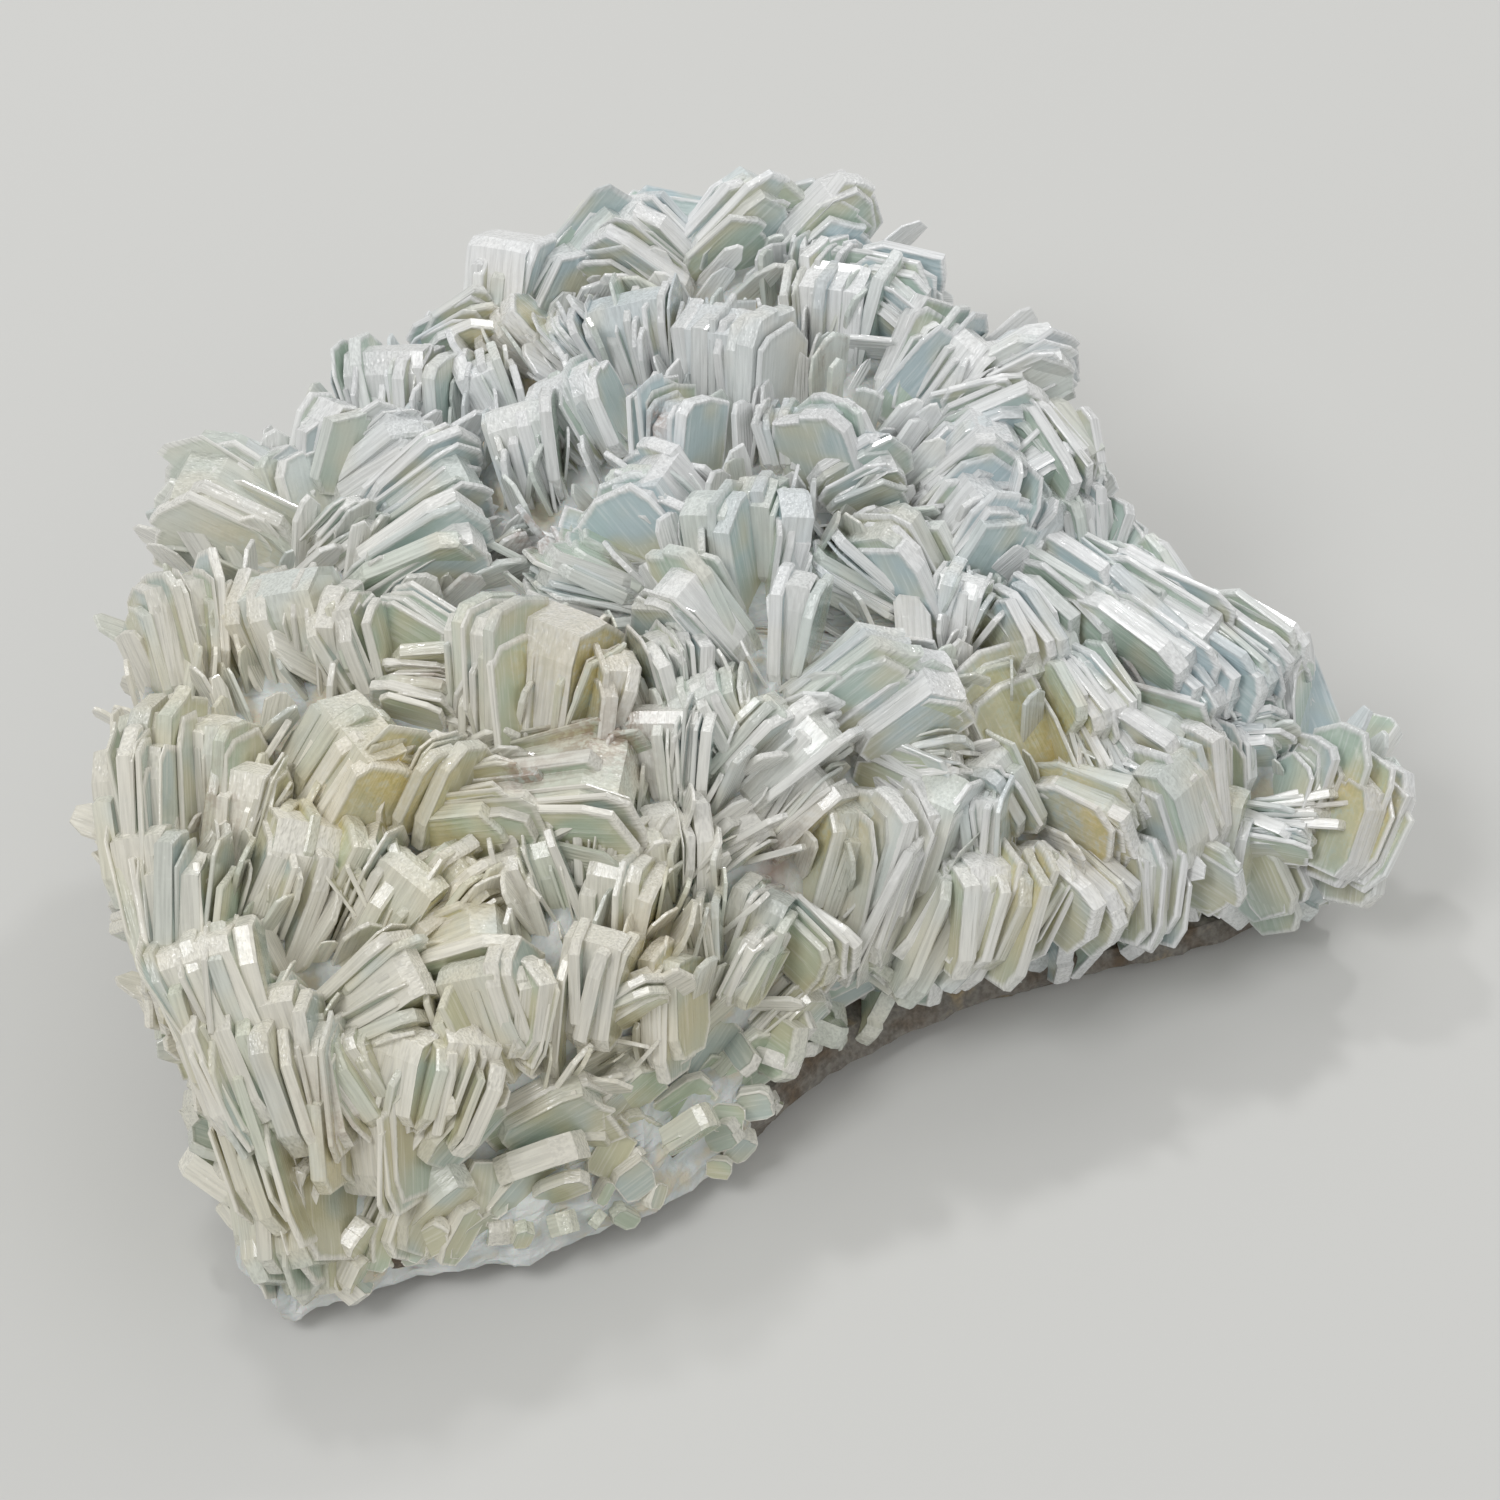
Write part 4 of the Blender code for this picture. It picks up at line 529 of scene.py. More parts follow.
def barite_skin(name, roughness):
    """Milky faces, frosted striated rims, the ochre stains of the place, and painted shade in the gaps
    and deep holes, from a blade's attributes.
    A range reads: value, from low, from high, to low, to high. It runs from 0 to 1 if not said."""
    material, add, place = new_skin(name)
    tint, rim, frost, depth, stain, hole_shade = (
        add(ATTRIBUTE, "Fac", attribute_name=mark)
        for mark in ("tint", "rim", "frost", "depth", "stain", "hole_shade"))
    fresh, dark = (add(MATH, 0, (add(MATH, 0, (tint, spin), **TIMES), 0.0), **FRACTION)
                   for spin in (FRESH_CHANCE, DARK_CHANCE))
    own = [add(ATTRIBUTE, "Vector", attribute_name=mark) for mark in ("place", "size")]
    own = add(VECTOR_MATH, 0, (add(VECTOR_MATH, 0, own, **TIMES), STRIATION_STRETCH), **TIMES)
    stria = add(NOISE, "Fac", {
        "Vector": own, "W": add(MATH, 0, (tint, STRIATION_SHIFT), **TIMES),
        "Scale": 1 / (STRIATION_MM * MM), "Detail": 1.0, "Roughness": 0.6}, noise_dimensions="4D")
    cloud, fleck = patterns(add, place, ((CLOUD_MM, 1.0, 0.6), (FLECK_MM, 2.0, 0.7)))
    # Towards the near left corner the colour turns warmer and a little darker: a warm white multiplies
    # it, and more of the warm milky tone is mixed in.
    side = add(VECTOR_MATH, "Value", (place, WARM_SIDE_AXIS), operation="DOT_PRODUCT")
    warm_side = add(RANGE, 0, (side, *WARM_SIDE_RANGE), **SOFT)
    warmth = add(MATH, 0, (cloud, add(MATH, 0, (warm_side, 0.08), **TIMES)), **PLUS)
    # Painted shade: faces that lie more than 2 mm below the tips turn olive, most at 8 mm, and less
    # again towards 14 mm.
    gap_shade = add(MATH, 0, (add(RANGE, 0, (depth, 2.0, 8.0, 0.0, 0.8), **SOFT),
                           add(RANGE, 0, (depth, 8.0, 14.0, 1.0, 0.1), **SOFT)), **TIMES)
    ragged = add(MATH, 0, (fleck, 0.5), operation="SUBTRACT")
    ragged = add(MATH, 0, (rim, add(MATH, 0, (ragged, 0.7), **TIMES)), **PLUS)
    white = add(MATH, 0, (add(RANGE, 0, (ragged, 0.3, 0.95, 0.05, 0.92), **SOFT),
                          add(RANGE, 0, (fresh, 0.1, 0.6, 0.55, 1.0), **SOFT)), **TIMES)
    veil = add(MATH, 0, (add(RANGE, 0, (stria, 0.5, 0.68), **SOFT), 0.25), **TIMES)
    for whiter in (veil, add(MATH, 0, (frost, 0.85), **TIMES)):
        white = add(MATH, 0, (white, whiter), **LARGER)
    darkest = add(RANGE, 0, (rim, 0.0, 1.0, 0.93, 0.8), **SOFT)
    lines = add(MATH, 0, (add(RANGE, 0, (stria, 0.3, 0.65, darkest, 1.0), **SOFT),
                          add(RANGE, 0, (dark, 0.0, 1.0, 0.84, 1.02), **SOFT)), **TIMES)
    ochre = layered(add, OCHRE, [(add(RANGE, 0, (fleck, 0.4, 0.65), **SOFT), OLIVE, "MIX")])
    spread = stain
    for thinned in ((fleck, 0.3, 0.6, 0.35, 1.0), (rim, 0.1, 0.9, 1.0, 0.4)):
        spread = add(MATH, 0, (spread, add(RANGE, 0, thinned, **SOFT)), **TIMES)
    # Painted shade of deep holes: dark brown near a hole spot, broken up by the fleck noise.
    hole_shade_share = add(MATH, 0, (hole_shade, add(RANGE, 0, (fleck, 0.4, 0.6, 0.2, 0.95), **SOFT)), **TIMES)
    skin = layered(add, MILKY_GREEN, (
        (add(RANGE, 0, (tint, 0.2, 0.8), **SOFT), MILKY_BLUE, "MIX"),
        (add(RANGE, 0, (warmth, 0.45, 0.7, 0.0, 0.8), **SOFT), MILKY_WARM, "MIX"),
        (gap_shade, GAP_SHADE_OLIVE, "MIX"),
        (white, FROST_WHITE, "MIX"),
        (warm_side, WARM_SIDE_WHITE, "MULTIPLY"),
        (1.0, lines, "MULTIPLY"),
        (spread, ochre, "MIX"),
        (hole_shade_share, HOLE_SHADE_BROWN, "MIX"),
    ))
    rough = add(MATH, 0, (add(RANGE, 0, (ragged, 0.2, 0.9, *roughness), **SOFT),
                          add(RANGE, 0, (fleck, 0.54, 0.6, 1.0, 0.35), **SOFT)), **TIMES)
    grooves = add(MATH, 0, (stria, add(RANGE, 0, (rim, 0.0, 1.0, 0.35, 1.0), **SOFT)), **TIMES)
    relief = add(MATH, 0, (grooves, add(MATH, 0, (fleck, 0.3), **TIMES)), **PLUS)
    return finish_skin(material, relief, GROOVE_STRENGTH, GROOVE_DEPTH, {
        "Base Color": skin, "Roughness": rough, "IOR": BARITE_IOR,
        "Coat Weight": POLISH, "Coat Roughness": POLISH_ROUGHNESS})


blade_skin = barite_skin("Barite blade skin", (0.24, 0.26))
splinter_skin = barite_skin("Barite splinter skin", (0.14, 0.22))
print("skins:", blade_skin.name, "and", splinter_skin.name)

# %% [markdown]
# Blade shapes. A blade is a flat six- or eight-sided plate. Eight unit shapes, one unit long,
# wide and thick, are enough, because every blade stretches one of them to its own size. Each has
# a bevelled rim and a border loop just inside it. The vertex attribute rim is 1 out to the bevel
# and 0 at the border, so the frosted band fades into the milky face. Four shapes have a stepped
# tip, where growth stopped early on one side.

# %% Unit blade shapes
BEVEL_INSET, BEVEL_SHARE, BORDER_INSET, BORDER_SINK = 0.035, 0.32, 0.17, 0.02
SHAPE_COUNT = 8
SHAPE_SEED = 5


def unit_outline(rng, notched):
    """A blade's outline, root at -0.5 and tip at 0.5 along x, half a unit to each side in y."""
    root = rng.uniform(0.24, 0.36)
    side = [(-0.5, root), (rng.uniform(-0.36, -0.24), 0.5), (rng.uniform(0.2, 0.43), 0.5),
            (rng.uniform(0.44, 0.5), rng.uniform(0.1, 0.44))]
    other = [(-0.5, -root), (side[1][0], -0.5), (rng.uniform(0.2, 0.43), -0.5),
             (0.5, -rng.uniform(0.05, 0.4))]
    if notched:
        step = rng.uniform(0.05, 0.13)
        other[3] = (0.5 - step, other[3][1])
        side += [(0.5, -0.02), (0.5 - step, -0.04)]
    return other + side[::-1]


def add_ring(mesh, outline, scale, height, rim, layers):
    ring = []
    for x, y in outline:
        vert = mesh.verts.new((x * scale, y * scale, height))
        vert[layers[0]] = rim
        vert[layers[1]] = vert.co
        ring.append(vert)
    return ring


def bridge(mesh, low, high):
    """A band of four-sided faces between two rings."""
    for i in range(len(low)):
        j = (i + 1) % len(low)
        mesh.faces.new((low[i], low[j], high[j], high[i]))


def unit_blade(name, outline, bordered):
    mesh = bmesh.new()
    layers = (mesh.verts.layers.float.new("rim"), mesh.verts.layers.float_vector.new("place"))
    steps = [(1 - BEVEL_INSET, 0.5, 1.0), (1.0, 0.5 - BEVEL_SHARE * 0.5, 1.0)]
    if bordered:
        steps.insert(0, (1 - BORDER_INSET, 0.5 - BORDER_SINK, 0.0))
    rings = [add_ring(mesh, outline, s, h, r, layers) for s, h, r in steps]
    rings += [add_ring(mesh, outline, s, -h, r, layers) for s, h, r in reversed(steps)]
    for upper, lower in zip(rings, rings[1:]):
        bridge(mesh, lower, upper)
    mesh.faces.new(rings[0])
    mesh.faces.new(reversed(rings[-1]))
    bmesh.ops.recalc_face_normals(mesh, faces=mesh.faces)
    return bpy.data.objects.new(name, to_mesh(name, mesh))


def shape_collection(name, bordered):
    """A collection that no scene shows: Geometry Nodes pick blades from it by number."""
    rng = random.Random(SHAPE_SEED)
    shapes = bpy.data.collections.new(name)
    for i in range(SHAPE_COUNT):
        outline = unit_outline(rng, notched=bordered and i % 2 == 1)
        shapes.objects.link(unit_blade(f"{name}_{i}", outline, bordered))
    return shapes


blade_shapes = shape_collection("blade_shape", bordered=True)
splinter_shapes = shape_collection("splinter_shape", bordered=False)

# %% [markdown]
# The root mass. All blades grow out of massive white barite, a low dome that overhangs its foot.
# It is lofted from four rings that the outline tables give, and roughened by Geometry Nodes:
# the tree splits its faces and moves every point along its normal by a noise.

# %% Root mass rings
COVER, NEAR_BRINK, NEAR_COVER, FAR_BRINK, FAR_COVER = 6.0, 8.0, 8.0, 3.5, 4.0
CROWN_INSET, NEAR_FOOT_INSET, FAR_FOOT_INSET = 26.0, 4.0, 0.5
WAIST_INSET, WAIST_SHARE = 5.0, 0.4
CRUST_AT_MIDDLE, CRUST_FALL, HALF_GAP = 6.5, 0.07, 0.15
FAR_EDGE_FIRST, FAR_EDGE_LAST = 11, 31


def crust_height(x):
    """Height of the plane where the crystals part from the rock."""
    return CRUST_AT_MIDDLE - CRUST_FALL * x


def tip_at(point):
    return tip_heights(point[0], point[1])[0]


def root_rings():
    """The foot, waist, brink and crown of the root mass, and its peak."""
    rings = [[], [], [], []]
    for i, (low, high) in enumerate(zip(FOOTPRINT, BLADE_EDGE)):
        far = FAR_EDGE_FIRST <= i < FAR_EDGE_LAST
        foot = inset(low, FAR_FOOT_INSET if far else NEAR_FOOT_INSET)
        brink = inset(high, FAR_BRINK if far else NEAR_BRINK)
        waist = inset(foot + (np.array(high) - foot) * WAIST_SHARE, WAIST_INSET)
        crown = inset(high, CROWN_INSET)
        top = tip_at(brink) - (FAR_COVER if far else NEAR_COVER)
        contact = crust_height(foot[0]) + HALF_GAP
        heights = (contact, (contact + top) / 2, top, tip_at(crown) - COVER)
        for ring, place, height in zip(rings, (foot, waist, brink, crown), heights):
            ring.append((*place, height))
    return rings, (*SPINE_MIDDLE, tip_at(SPINE_MIDDLE) - COVER)


def ring_loft(rings, peak=None):
    """A closed bmesh round a stack of rings: flat below, and a fan to the peak if there is one."""
    mesh = bmesh.new()
    made = [[mesh.verts.new(Vector(point)) for point in ring] for ring in rings]
    for low, high in zip(made, made[1:]):
        bridge(mesh, low, high)
    mesh.faces.new(reversed(made[0]))
    last = made[-1]
    if peak is None:
        mesh.faces.new(last)
    else:
        tip = mesh.verts.new(Vector(peak))
        for i in range(len(last)):
            mesh.faces.new((last[i], last[(i + 1) % len(last)], tip))
    bmesh.ops.recalc_face_normals(mesh, faces=mesh.faces)
    return mesh


def to_object(name, mesh):
    """A bmesh in mm as an object in metres, moved so that the footprint's middle is the origin."""
    for vert in mesh.verts:
        vert.co = (vert.co + Vector(ORIGIN_SHIFT)) * MM
    return show(name, to_mesh(name, mesh))


root_loft = ring_loft(*root_rings())
root_surface = BVHTree.FromBMesh(root_loft)
root_base = to_object("root_base", root_loft)
print("root mass:", len(root_base.data.polygons), "faces before it is roughened")

# %% [markdown]
# A node tree for the roughening. Its inputs have names and sizes, so the same tree serves the
# root mass and the rock. The noise sits in space, and points on the underside stay where they
# are, because the underside was cut flat.

# %% Geometry Nodes: roughen a surface
ROUGHEN_DETAIL = 3.0


def new_tree(name, inputs):
    """A Geometry Nodes tree with named inputs. An input is given its kind, or its usual number."""
    tree = bpy.data.node_groups.new(name, "GeometryNodeTree")
    tree.is_modifier = True
    for label, what in [("Geometry", "Geometry"), *inputs]:
        kind = what if isinstance(what, str) else "Float"
        socket = tree.interface.new_socket(name=label, in_out="INPUT",
                                           socket_type="NodeSocket" + kind)
        if kind == "Float":
            socket.default_value = what
    tree.interface.new_socket(name="Geometry", in_out="OUTPUT", socket_type="NodeSocketGeometry")
    return tree, partial(add_node, tree), tree.nodes.new("NodeGroupInput").outputs


def end_tree(tree, add, geometry, skin):
    """Makes the instances real, gives all of it a skin, and ends the tree."""
    real = add("GeometryNodeRealizeInstances", 0, [geometry])
    skinned = add("GeometryNodeSetMaterial", 0, {"Geometry": real, "Material": skin})
    fill(tree, tree.nodes.new("NodeGroupOutput"), [skinned])
    return tree


def run_tree(name, source, tree, **settings):
    """Runs a tree on an object and keeps the result as a plain mesh object of this name."""
    modifier = source.modifiers.new(tree.name, "NODES")
    modifier.node_group = tree
    for socket in tree.interface.items_tree:
        key = socket.name.replace(" ", "_").lower()
        if socket.in_out == "INPUT" and key in settings:
            modifier[socket.identifier] = settings.pop(key)
    if settings:
        raise ValueError(f"the tree {tree.name} has no input for {sorted(settings)}")
    graph = bpy.context.evaluated_depsgraph_get()
    data = bpy.data.meshes.new_from_object(source.evaluated_get(graph))
    data.name = name
    source.modifiers.remove(modifier)
    bpy.data.objects.remove(source, do_unlink=True)
    return show(name, data)


def roughen_tree():
    tree, add, given = new_tree("Roughen a surface", [
        ("Grain", 3 * MM), ("Relief", 1 * MM), ("Underside", 0.0), ("Levels", "Int"),
        ("Skin", "Material")])
    fine = add("GeometryNodeSubdivideMesh", 0,
               {"Mesh": given["Geometry"], "Level": given["Levels"]})
    place = add("GeometryNodeInputPosition")
    scale = add(MATH, 0, (1.0, given["Grain"]), operation="DIVIDE")
    noise = add(NOISE, "Fac", {"Vector": place, "Scale": scale, "Detail": ROUGHEN_DETAIL})
    signed = add(MATH, 0, (noise, 0.5), operation="SUBTRACT")
    move = add(VECTOR_MATH, 0, {
        0: add("GeometryNodeInputNormal", "Normal"),
        "Scale": add(MATH, 0, (signed, given["Relief"]), **TIMES)}, operation="SCALE")
    above = add("FunctionNodeCompare", 0,
                (add("ShaderNodeSeparateXYZ", "Z", [place]), given["Underside"]),
                operation="GREATER_THAN")
    moved = add("GeometryNodeSetPosition", 0,
                {"Geometry": fine, "Selection": above, "Offset": move})
    return end_tree(tree, add, moved, given["Skin"])


roughen = roughen_tree()
print("tree inputs:", [s.name for s in roughen.interface.items_tree if s.in_out == "INPUT"])

# %% [markdown]
# Massive barite skin, for the root mass: the same mineral as the blades, but grown as a mass of
# tiny crystals, so it is whiter and duller, like porcelain that was left unglazed. Ochre has
# settled in its hollows.

# %% Massive barite skin
MASS_WHITE, MASS_GREY, MASS_BUFF = "#DCDFDC", "#A5B0B4", "#D0C2A0"
MASS_MILK, MASS_MILK_DEPTH = 0.2, 1.0 * MM
PATCH_MM, GRAIN_MM = 5.0, 0.6
MASS_BUMP = (0.6, 0.3 * MM)


def massive_skin():
    material, add, place = new_skin("Massive barite skin")
    patches, grain = patterns(add, place, ((PATCH_MM, 4.0, 0.5), (GRAIN_MM, 3.0, 0.5)))
    stain, hole_shade = (add(ATTRIBUTE, "Fac", attribute_name=mark) for mark in ("stain", "hole_shade"))
    dirty = add(MATH, 0, (stain, add(RANGE, 0, (grain, 0.35, 0.6, 0.2, 0.7), **SOFT)), **TIMES)
    skin = layered(add, MASS_WHITE, (
        (add(RANGE, 0, (patches, 0.35, 0.7), **SOFT), MASS_GREY, "MIX"),
        (add(RANGE, 0, (patches, 0.5, 0.62, 0.0, 0.7), **SOFT), MASS_BUFF, "MIX"),
        (dirty, OLIVE, "MIX"),
        # Painted shade of deep holes, in dark brown.
        (hole_shade, HOLE_SHADE_BROWN, "MIX"),
    ))
    return finish_skin(material, grain, *MASS_BUMP, {
        "Base Color": skin, "Roughness": add(RANGE, 0, (grain, 0.3, 0.7, 0.55, 0.75), **SOFT),
        "IOR": BARITE_IOR, "Subsurface Weight": MASS_MILK, "Subsurface Scale": MASS_MILK_DEPTH})


def store(data, name, values, kind="FLOAT"):
    """Writes a value for each point of a mesh as a named attribute."""
    numbers = np.array(values, np.int32 if kind == "INT" else np.float32)
    layer = data.attributes.new(name, kind, "POINT")
    layer.data.foreach_set("vector" if kind == "FLOAT_VECTOR" else "value", numbers.ravel())


def mark_surface(piece):
    """Stores, at each point of a piece, how deep it lies below the tips, which sets the painted shade
    in the gaps, its ochre stain, and how strongly the painted shade of deep holes marks it.
    """
    places = np.empty(len(piece.data.vertices) * 3, np.float32)
    piece.data.vertices.foreach_get("co", places)
    places = places.reshape(-1, 3) / MM - ORIGIN_SHIFT
    store(piece.data, "depth", tip_heights(places[:, 0], places[:, 1]) - places[:, 2])
    store(piece.data, "stain", nearness_to(stained_spots, places))
    store(piece.data, "hole_shade", nearness_to(shaded_hole_places, places))
    return piece


mass_skin = massive_skin()
root_mass = mark_surface(run_tree("root_mass", root_base, roughen, grain=4 * MM, relief=1.6 * MM,
                                  underside=-1.0, levels=3, skin=mass_skin))
print("root mass:", len(root_mass.data.polygons), "faces, marked")

# %% [markdown]
# Placing the blades. A row of the table gives a book's three axes: along the blades, across them
# towards the eye, and the normal of their faces. Its blades step along the normal by the pitch
# and turn a little each time, so that the book opens like a fan. Real blades always grow out of
# something: where no corner of a blade is sunk in the root mass, the blade is moved until one is.

# %% Placing one blade
FAN_STEP, FAR_FAN_STEP = math.radians(3.6), math.radians(5.2)
BLADE_SEED, FINE_SEED = 7, 11
CROWN_DEPTH, WALL_DEPTH, FAR_ZONE = 0.85, 0.3, 14.0
TABLE_GAP = 1.0
BLADE_CORNERS = ((-0.5, -0.27), (0.18, -0.5), (0.5, -0.22), (0.5, 0.22), (0.18, 0.5), (-0.5, 0.27))
ROOT_DEPTH, ROOT_REACH, ROOT_FALLS, RAY_STEP = 0.8, 1.5, (0.5, 0.75, 0.9, 1.0, 1.6, 3.0), 0.001
LENGTH_SPREAD, SLIDE_SPREAD = (0.76, 1.08), (-0.2, 0.08)
blade_rows = {"seen": [], "wall": [], "far": []}


def is_inside(point):
    """Whether a line straight up from the point leaves the root mass once more than it enters."""
    up = Vector((0.0, 0.0, 1.0))
    crossings, place = 0, point
    while place is not None:
        place = root_surface.ray_cast(place + up * RAY_STEP, up)[0]
        crossings += place is not None
    return crossings % 2 == 1


def rooting_move(corners):
    """The shortest move that roots one of these corners in the mass, none where one is rooted."""
    moves = []
    for fall in ROOT_FALLS:
        for corner in corners:
            place, _, _, distance = root_surface.find_nearest(Vector(corner))
            if distance >= ROOT_DEPTH and is_inside(Vector(corner)):
                return np.zeros(3)
            inward = Vector((*spine_at(place.x), place.z * fall)) - place
            root = place + inward.normalized() * ROOT_REACH
            if is_inside(root):
                moves.append(np.array(root) - corner)
        if moves:
            break
    return min(moves, key=np.linalg.norm)


def plant(group, centre, along, across, normal, size, frost, rng):
    """Roots a blade in the mass and notes it down for its group."""
    long, wide, _ = size
    corners = [centre + along * a * long + across * w * wide for a, w in BLADE_CORNERS]
    move = rooting_move(corners)
    lowest = min(corner[2] for corner in corners) + move[2] - size[2] / 2
    centre = centre + move + np.array([0.0, 0.0, max(TABLE_GAP - lowest, 0.0)])
    blade_rows[group].append((centre, along, normal, size, rng.randrange(SHAPE_COUNT),
                              rng.random(), frost))


def book_axes(heading, lean, roll):
    """Long axis, width axis (towards the eye) and normal of a book seen from the front."""
    right, up, toward = view_axes()
    heading, lean, roll = (math.radians(a) for a in (heading, lean, roll))
    flat = math.cos(heading) * right + math.sin(heading) * up
    along = math.cos(lean) * flat + math.sin(lean) * toward
    side = math.sin(heading) * right - math.cos(heading) * up
    depth = math.cos(lean) * toward - math.sin(lean) * flat
    across = math.cos(roll) * depth - math.sin(roll) * side
    normal = math.cos(roll) * side + math.sin(roll) * depth
    return along, across, normal


def turned(along, normal, angle):
    """Both axes turned by an angle about the blade's width."""
    ahead = along * math.cos(angle) + normal * math.sin(angle)
    return ahead, normal * math.cos(angle) - along * math.sin(angle)

# %% [markdown]
# Blades of one book touch almost everywhere, with only a dark line between them, and each stops
# at its own level, so that a book looks like a pile of slates pushed together by hand. The pile
# is laid from one side to the other: every blade draws its own thickness, and the next one starts
# where it ends. Behind their rims the blades have grown together, so each book also gets a core,
# one stout crystal that fills it to a little below the rims and closes the gaps to fine grooves.

# %% Books that the front view shows
FILL_SHARE, THICK_SPREAD, STEP_SPREAD, THICKEST = 0.9, (0.22, 1.15), (-0.15, 0.06), 1.8
SLIVER_SHARE, SLIVER_ODDS, WOBBLE, WIDTH_SPREAD = 0.35, 0.35, 0.065, (0.85, 1.05)
CORE_SEED, CORE_LONG, CORE_BACK, CORE_THICK = 13, 0.86, 1.0, 0.92


def book_depth(anchor):
    """The share of a book's depth that lies behind its rims, which falls to none at the far edge."""
    far = np.array(BLADE_EDGE[FAR_EDGE_FIRST:FAR_EDGE_LAST], float)
    distance = np.linalg.norm(far - anchor[:2], axis=1).min()
    return CROWN_DEPTH * min(distance / FAR_ZONE, 1.0)


core_draws = random.Random(CORE_SEED)


def plant_book(group, anchor, share, axes, size, count, pitch, rng):
    """Plants a pile of blades whose outer rims lie at the anchor."""
    along, across, normal = axes
    long, wide, thick = size
    toward = view_axes()[2]
    depth = 0.5 * (abs(along @ toward) * long + abs(across @ toward) * wide)
    middle = anchor - toward * share * depth
    frost = nearness_to(frosted_spots, np.array([anchor]))[0]
    stack = (count - 1) * pitch + max(thick, pitch * FILL_SHARE)
    laid = -stack / 2
    while laid < stack / 2:
        own = min(max(thick, pitch * FILL_SHARE), THICKEST) * rng.uniform(*THICK_SPREAD)
        if rng.random() < SLIVER_ODDS:
            own *= SLIVER_SHARE
        step = (laid + own / 2) / pitch
        laid += own / FILL_SHARE
        ahead, flat = turned(along, normal, FAN_STEP * step)
        centre = middle + normal * pitch * step
        centre = centre + along * long * rng.uniform(*SLIDE_SPREAD)
        centre = centre + across * wide * rng.uniform(*STEP_SPREAD)
        wobble = np.array([rng.gauss(0.0, WOBBLE) for _ in range(6)])
        ahead, flat = ahead + wobble[:3], flat + wobble[3:]
        ahead /= np.linalg.norm(ahead)
        own_size = (long * rng.uniform(*LENGTH_SPREAD), wide * rng.uniform(*WIDTH_SPREAD), own)
        plant(group, centre, ahead, across, flat, own_size, frost, rng)
    core = (long * CORE_LONG, max(wide - 2 * CORE_BACK, wide / 2), stack * CORE_THICK)
    plant(group, middle, along, across, normal, core, frost, core_draws)


fine = random.Random(FINE_SEED)
for right, up, height, heading, lean, roll, long, wide, thick, blades, pitch in BOOKS:
    on_wall = height is not None
    anchor = seen_point(right, up, height) if on_wall else crown_point(right, up)
    plant_book("wall" if on_wall else "seen", anchor, WALL_DEPTH if on_wall else book_depth(anchor),
               book_axes(heading, lean, roll), (long, wide, thick), blades, pitch, fine)
print(len(blade_rows["seen"]), "blades on the crown,", len(blade_rows["wall"]), "on the near wall")

# %% [markdown]
# Low on the right of the near wall, short crystals lie against the rock and hide most of it. They
# follow the footprint, so a rule places them: a few on each stretch of it, pointing outwards.

# %% Crystals along the foot
SKIRT_STRETCHES, SKIRT_PER_STRETCH, SKIRT_REACH = range(4, 12), 6, (-0.8, 1.6)
SKIRT_HEIGHT, SKIRT_RISE, SKIRT_SWING, SKIRT_ROLL = (0.7, 2.1), (-15, 45), 40, 75
SKIRT_LONG, SKIRT_WIDE, SKIRT_THICK = (6, 9.5), (5, 8), (1.0, 2.3)


def outward_axes(heading, rise, roll):
    """Long axis, width axis and normal of a blade that points outwards; angles in radians."""
    out = np.array([math.cos(heading), math.sin(heading), 0.0])
    along = out * math.cos(rise) + np.array([0.0, 0.0, math.sin(rise)])
    level = np.array([-out[1], out[0], 0.0])
    normal = level * math.cos(roll) + np.cross(along, level) * math.sin(roll)
    return along, np.cross(normal, along), normal


for i in SKIRT_STRETCHES:
    start, end = (np.array(FOOTPRINT[j % len(FOOTPRINT)], float) for j in (i, i + 1))
    side = end - start
    for _ in range(SKIRT_PER_STRETCH):
        outward = math.atan2(-side[0], side[1])
        place = start + side * fine.random()
        place = place + np.array([math.cos(outward), math.sin(outward)]) * fine.uniform(*SKIRT_REACH)
        height = crust_height(place[0]) * fine.uniform(*SKIRT_HEIGHT)
        outward += math.radians(fine.uniform(-SKIRT_SWING, SKIRT_SWING))
        size = [fine.uniform(*spread) for spread in (SKIRT_LONG, SKIRT_WIDE, SKIRT_THICK)]
        axes = outward_axes(outward, math.radians(fine.uniform(*SKIRT_RISE)),
                            math.radians(fine.uniform(-SKIRT_ROLL, SKIRT_ROLL)))
        centre = np.array([*place, height]) - axes[0] * size[0] / 2
        plant("wall", centre, *axes, size, 0.0, fine)
print(len(blade_rows["wall"]), "blades on the near wall and along its foot")

# %% [markdown]
# The far walls are out of the front view, and they carry the same kind of books. The CAD model
# has one stout blade in each place, drawn with a seeded random stream, so the same stream is
# drawn here in the same order, and a small fan of thinner blades takes each stout one's place.

# %% Books on the far walls
FAR_TIERS = ((17.0, 0.35), (29.0, 0.8))
FAR_LONG, FAR_WIDE, FAR_MIDDLE, FAR_TIP_MARGIN = 15.0, 9.0, (-4.0, 4.0), 2.0
FAR_RISE, FAR_SWING, FAR_ROLL = (15, 45), 22, 60
ONE_BLADE_STACK, TWO_BLADE_STACK = 7.0, 13.0
DRAWS_PER_BLADE, DRAWS_PER_FAR_BLADE = 5, 3
FAR_FAN, FAR_FAN_PITCH, FAR_FROST = (-1.8, -0.95, 0.0, 0.9, 1.7), 1.3, 0.25
FAR_SHORTER, FAR_NARROWER, FAR_THICK = (0.75, 0.95), (0.8, 1.0), (0.5, 1.3)

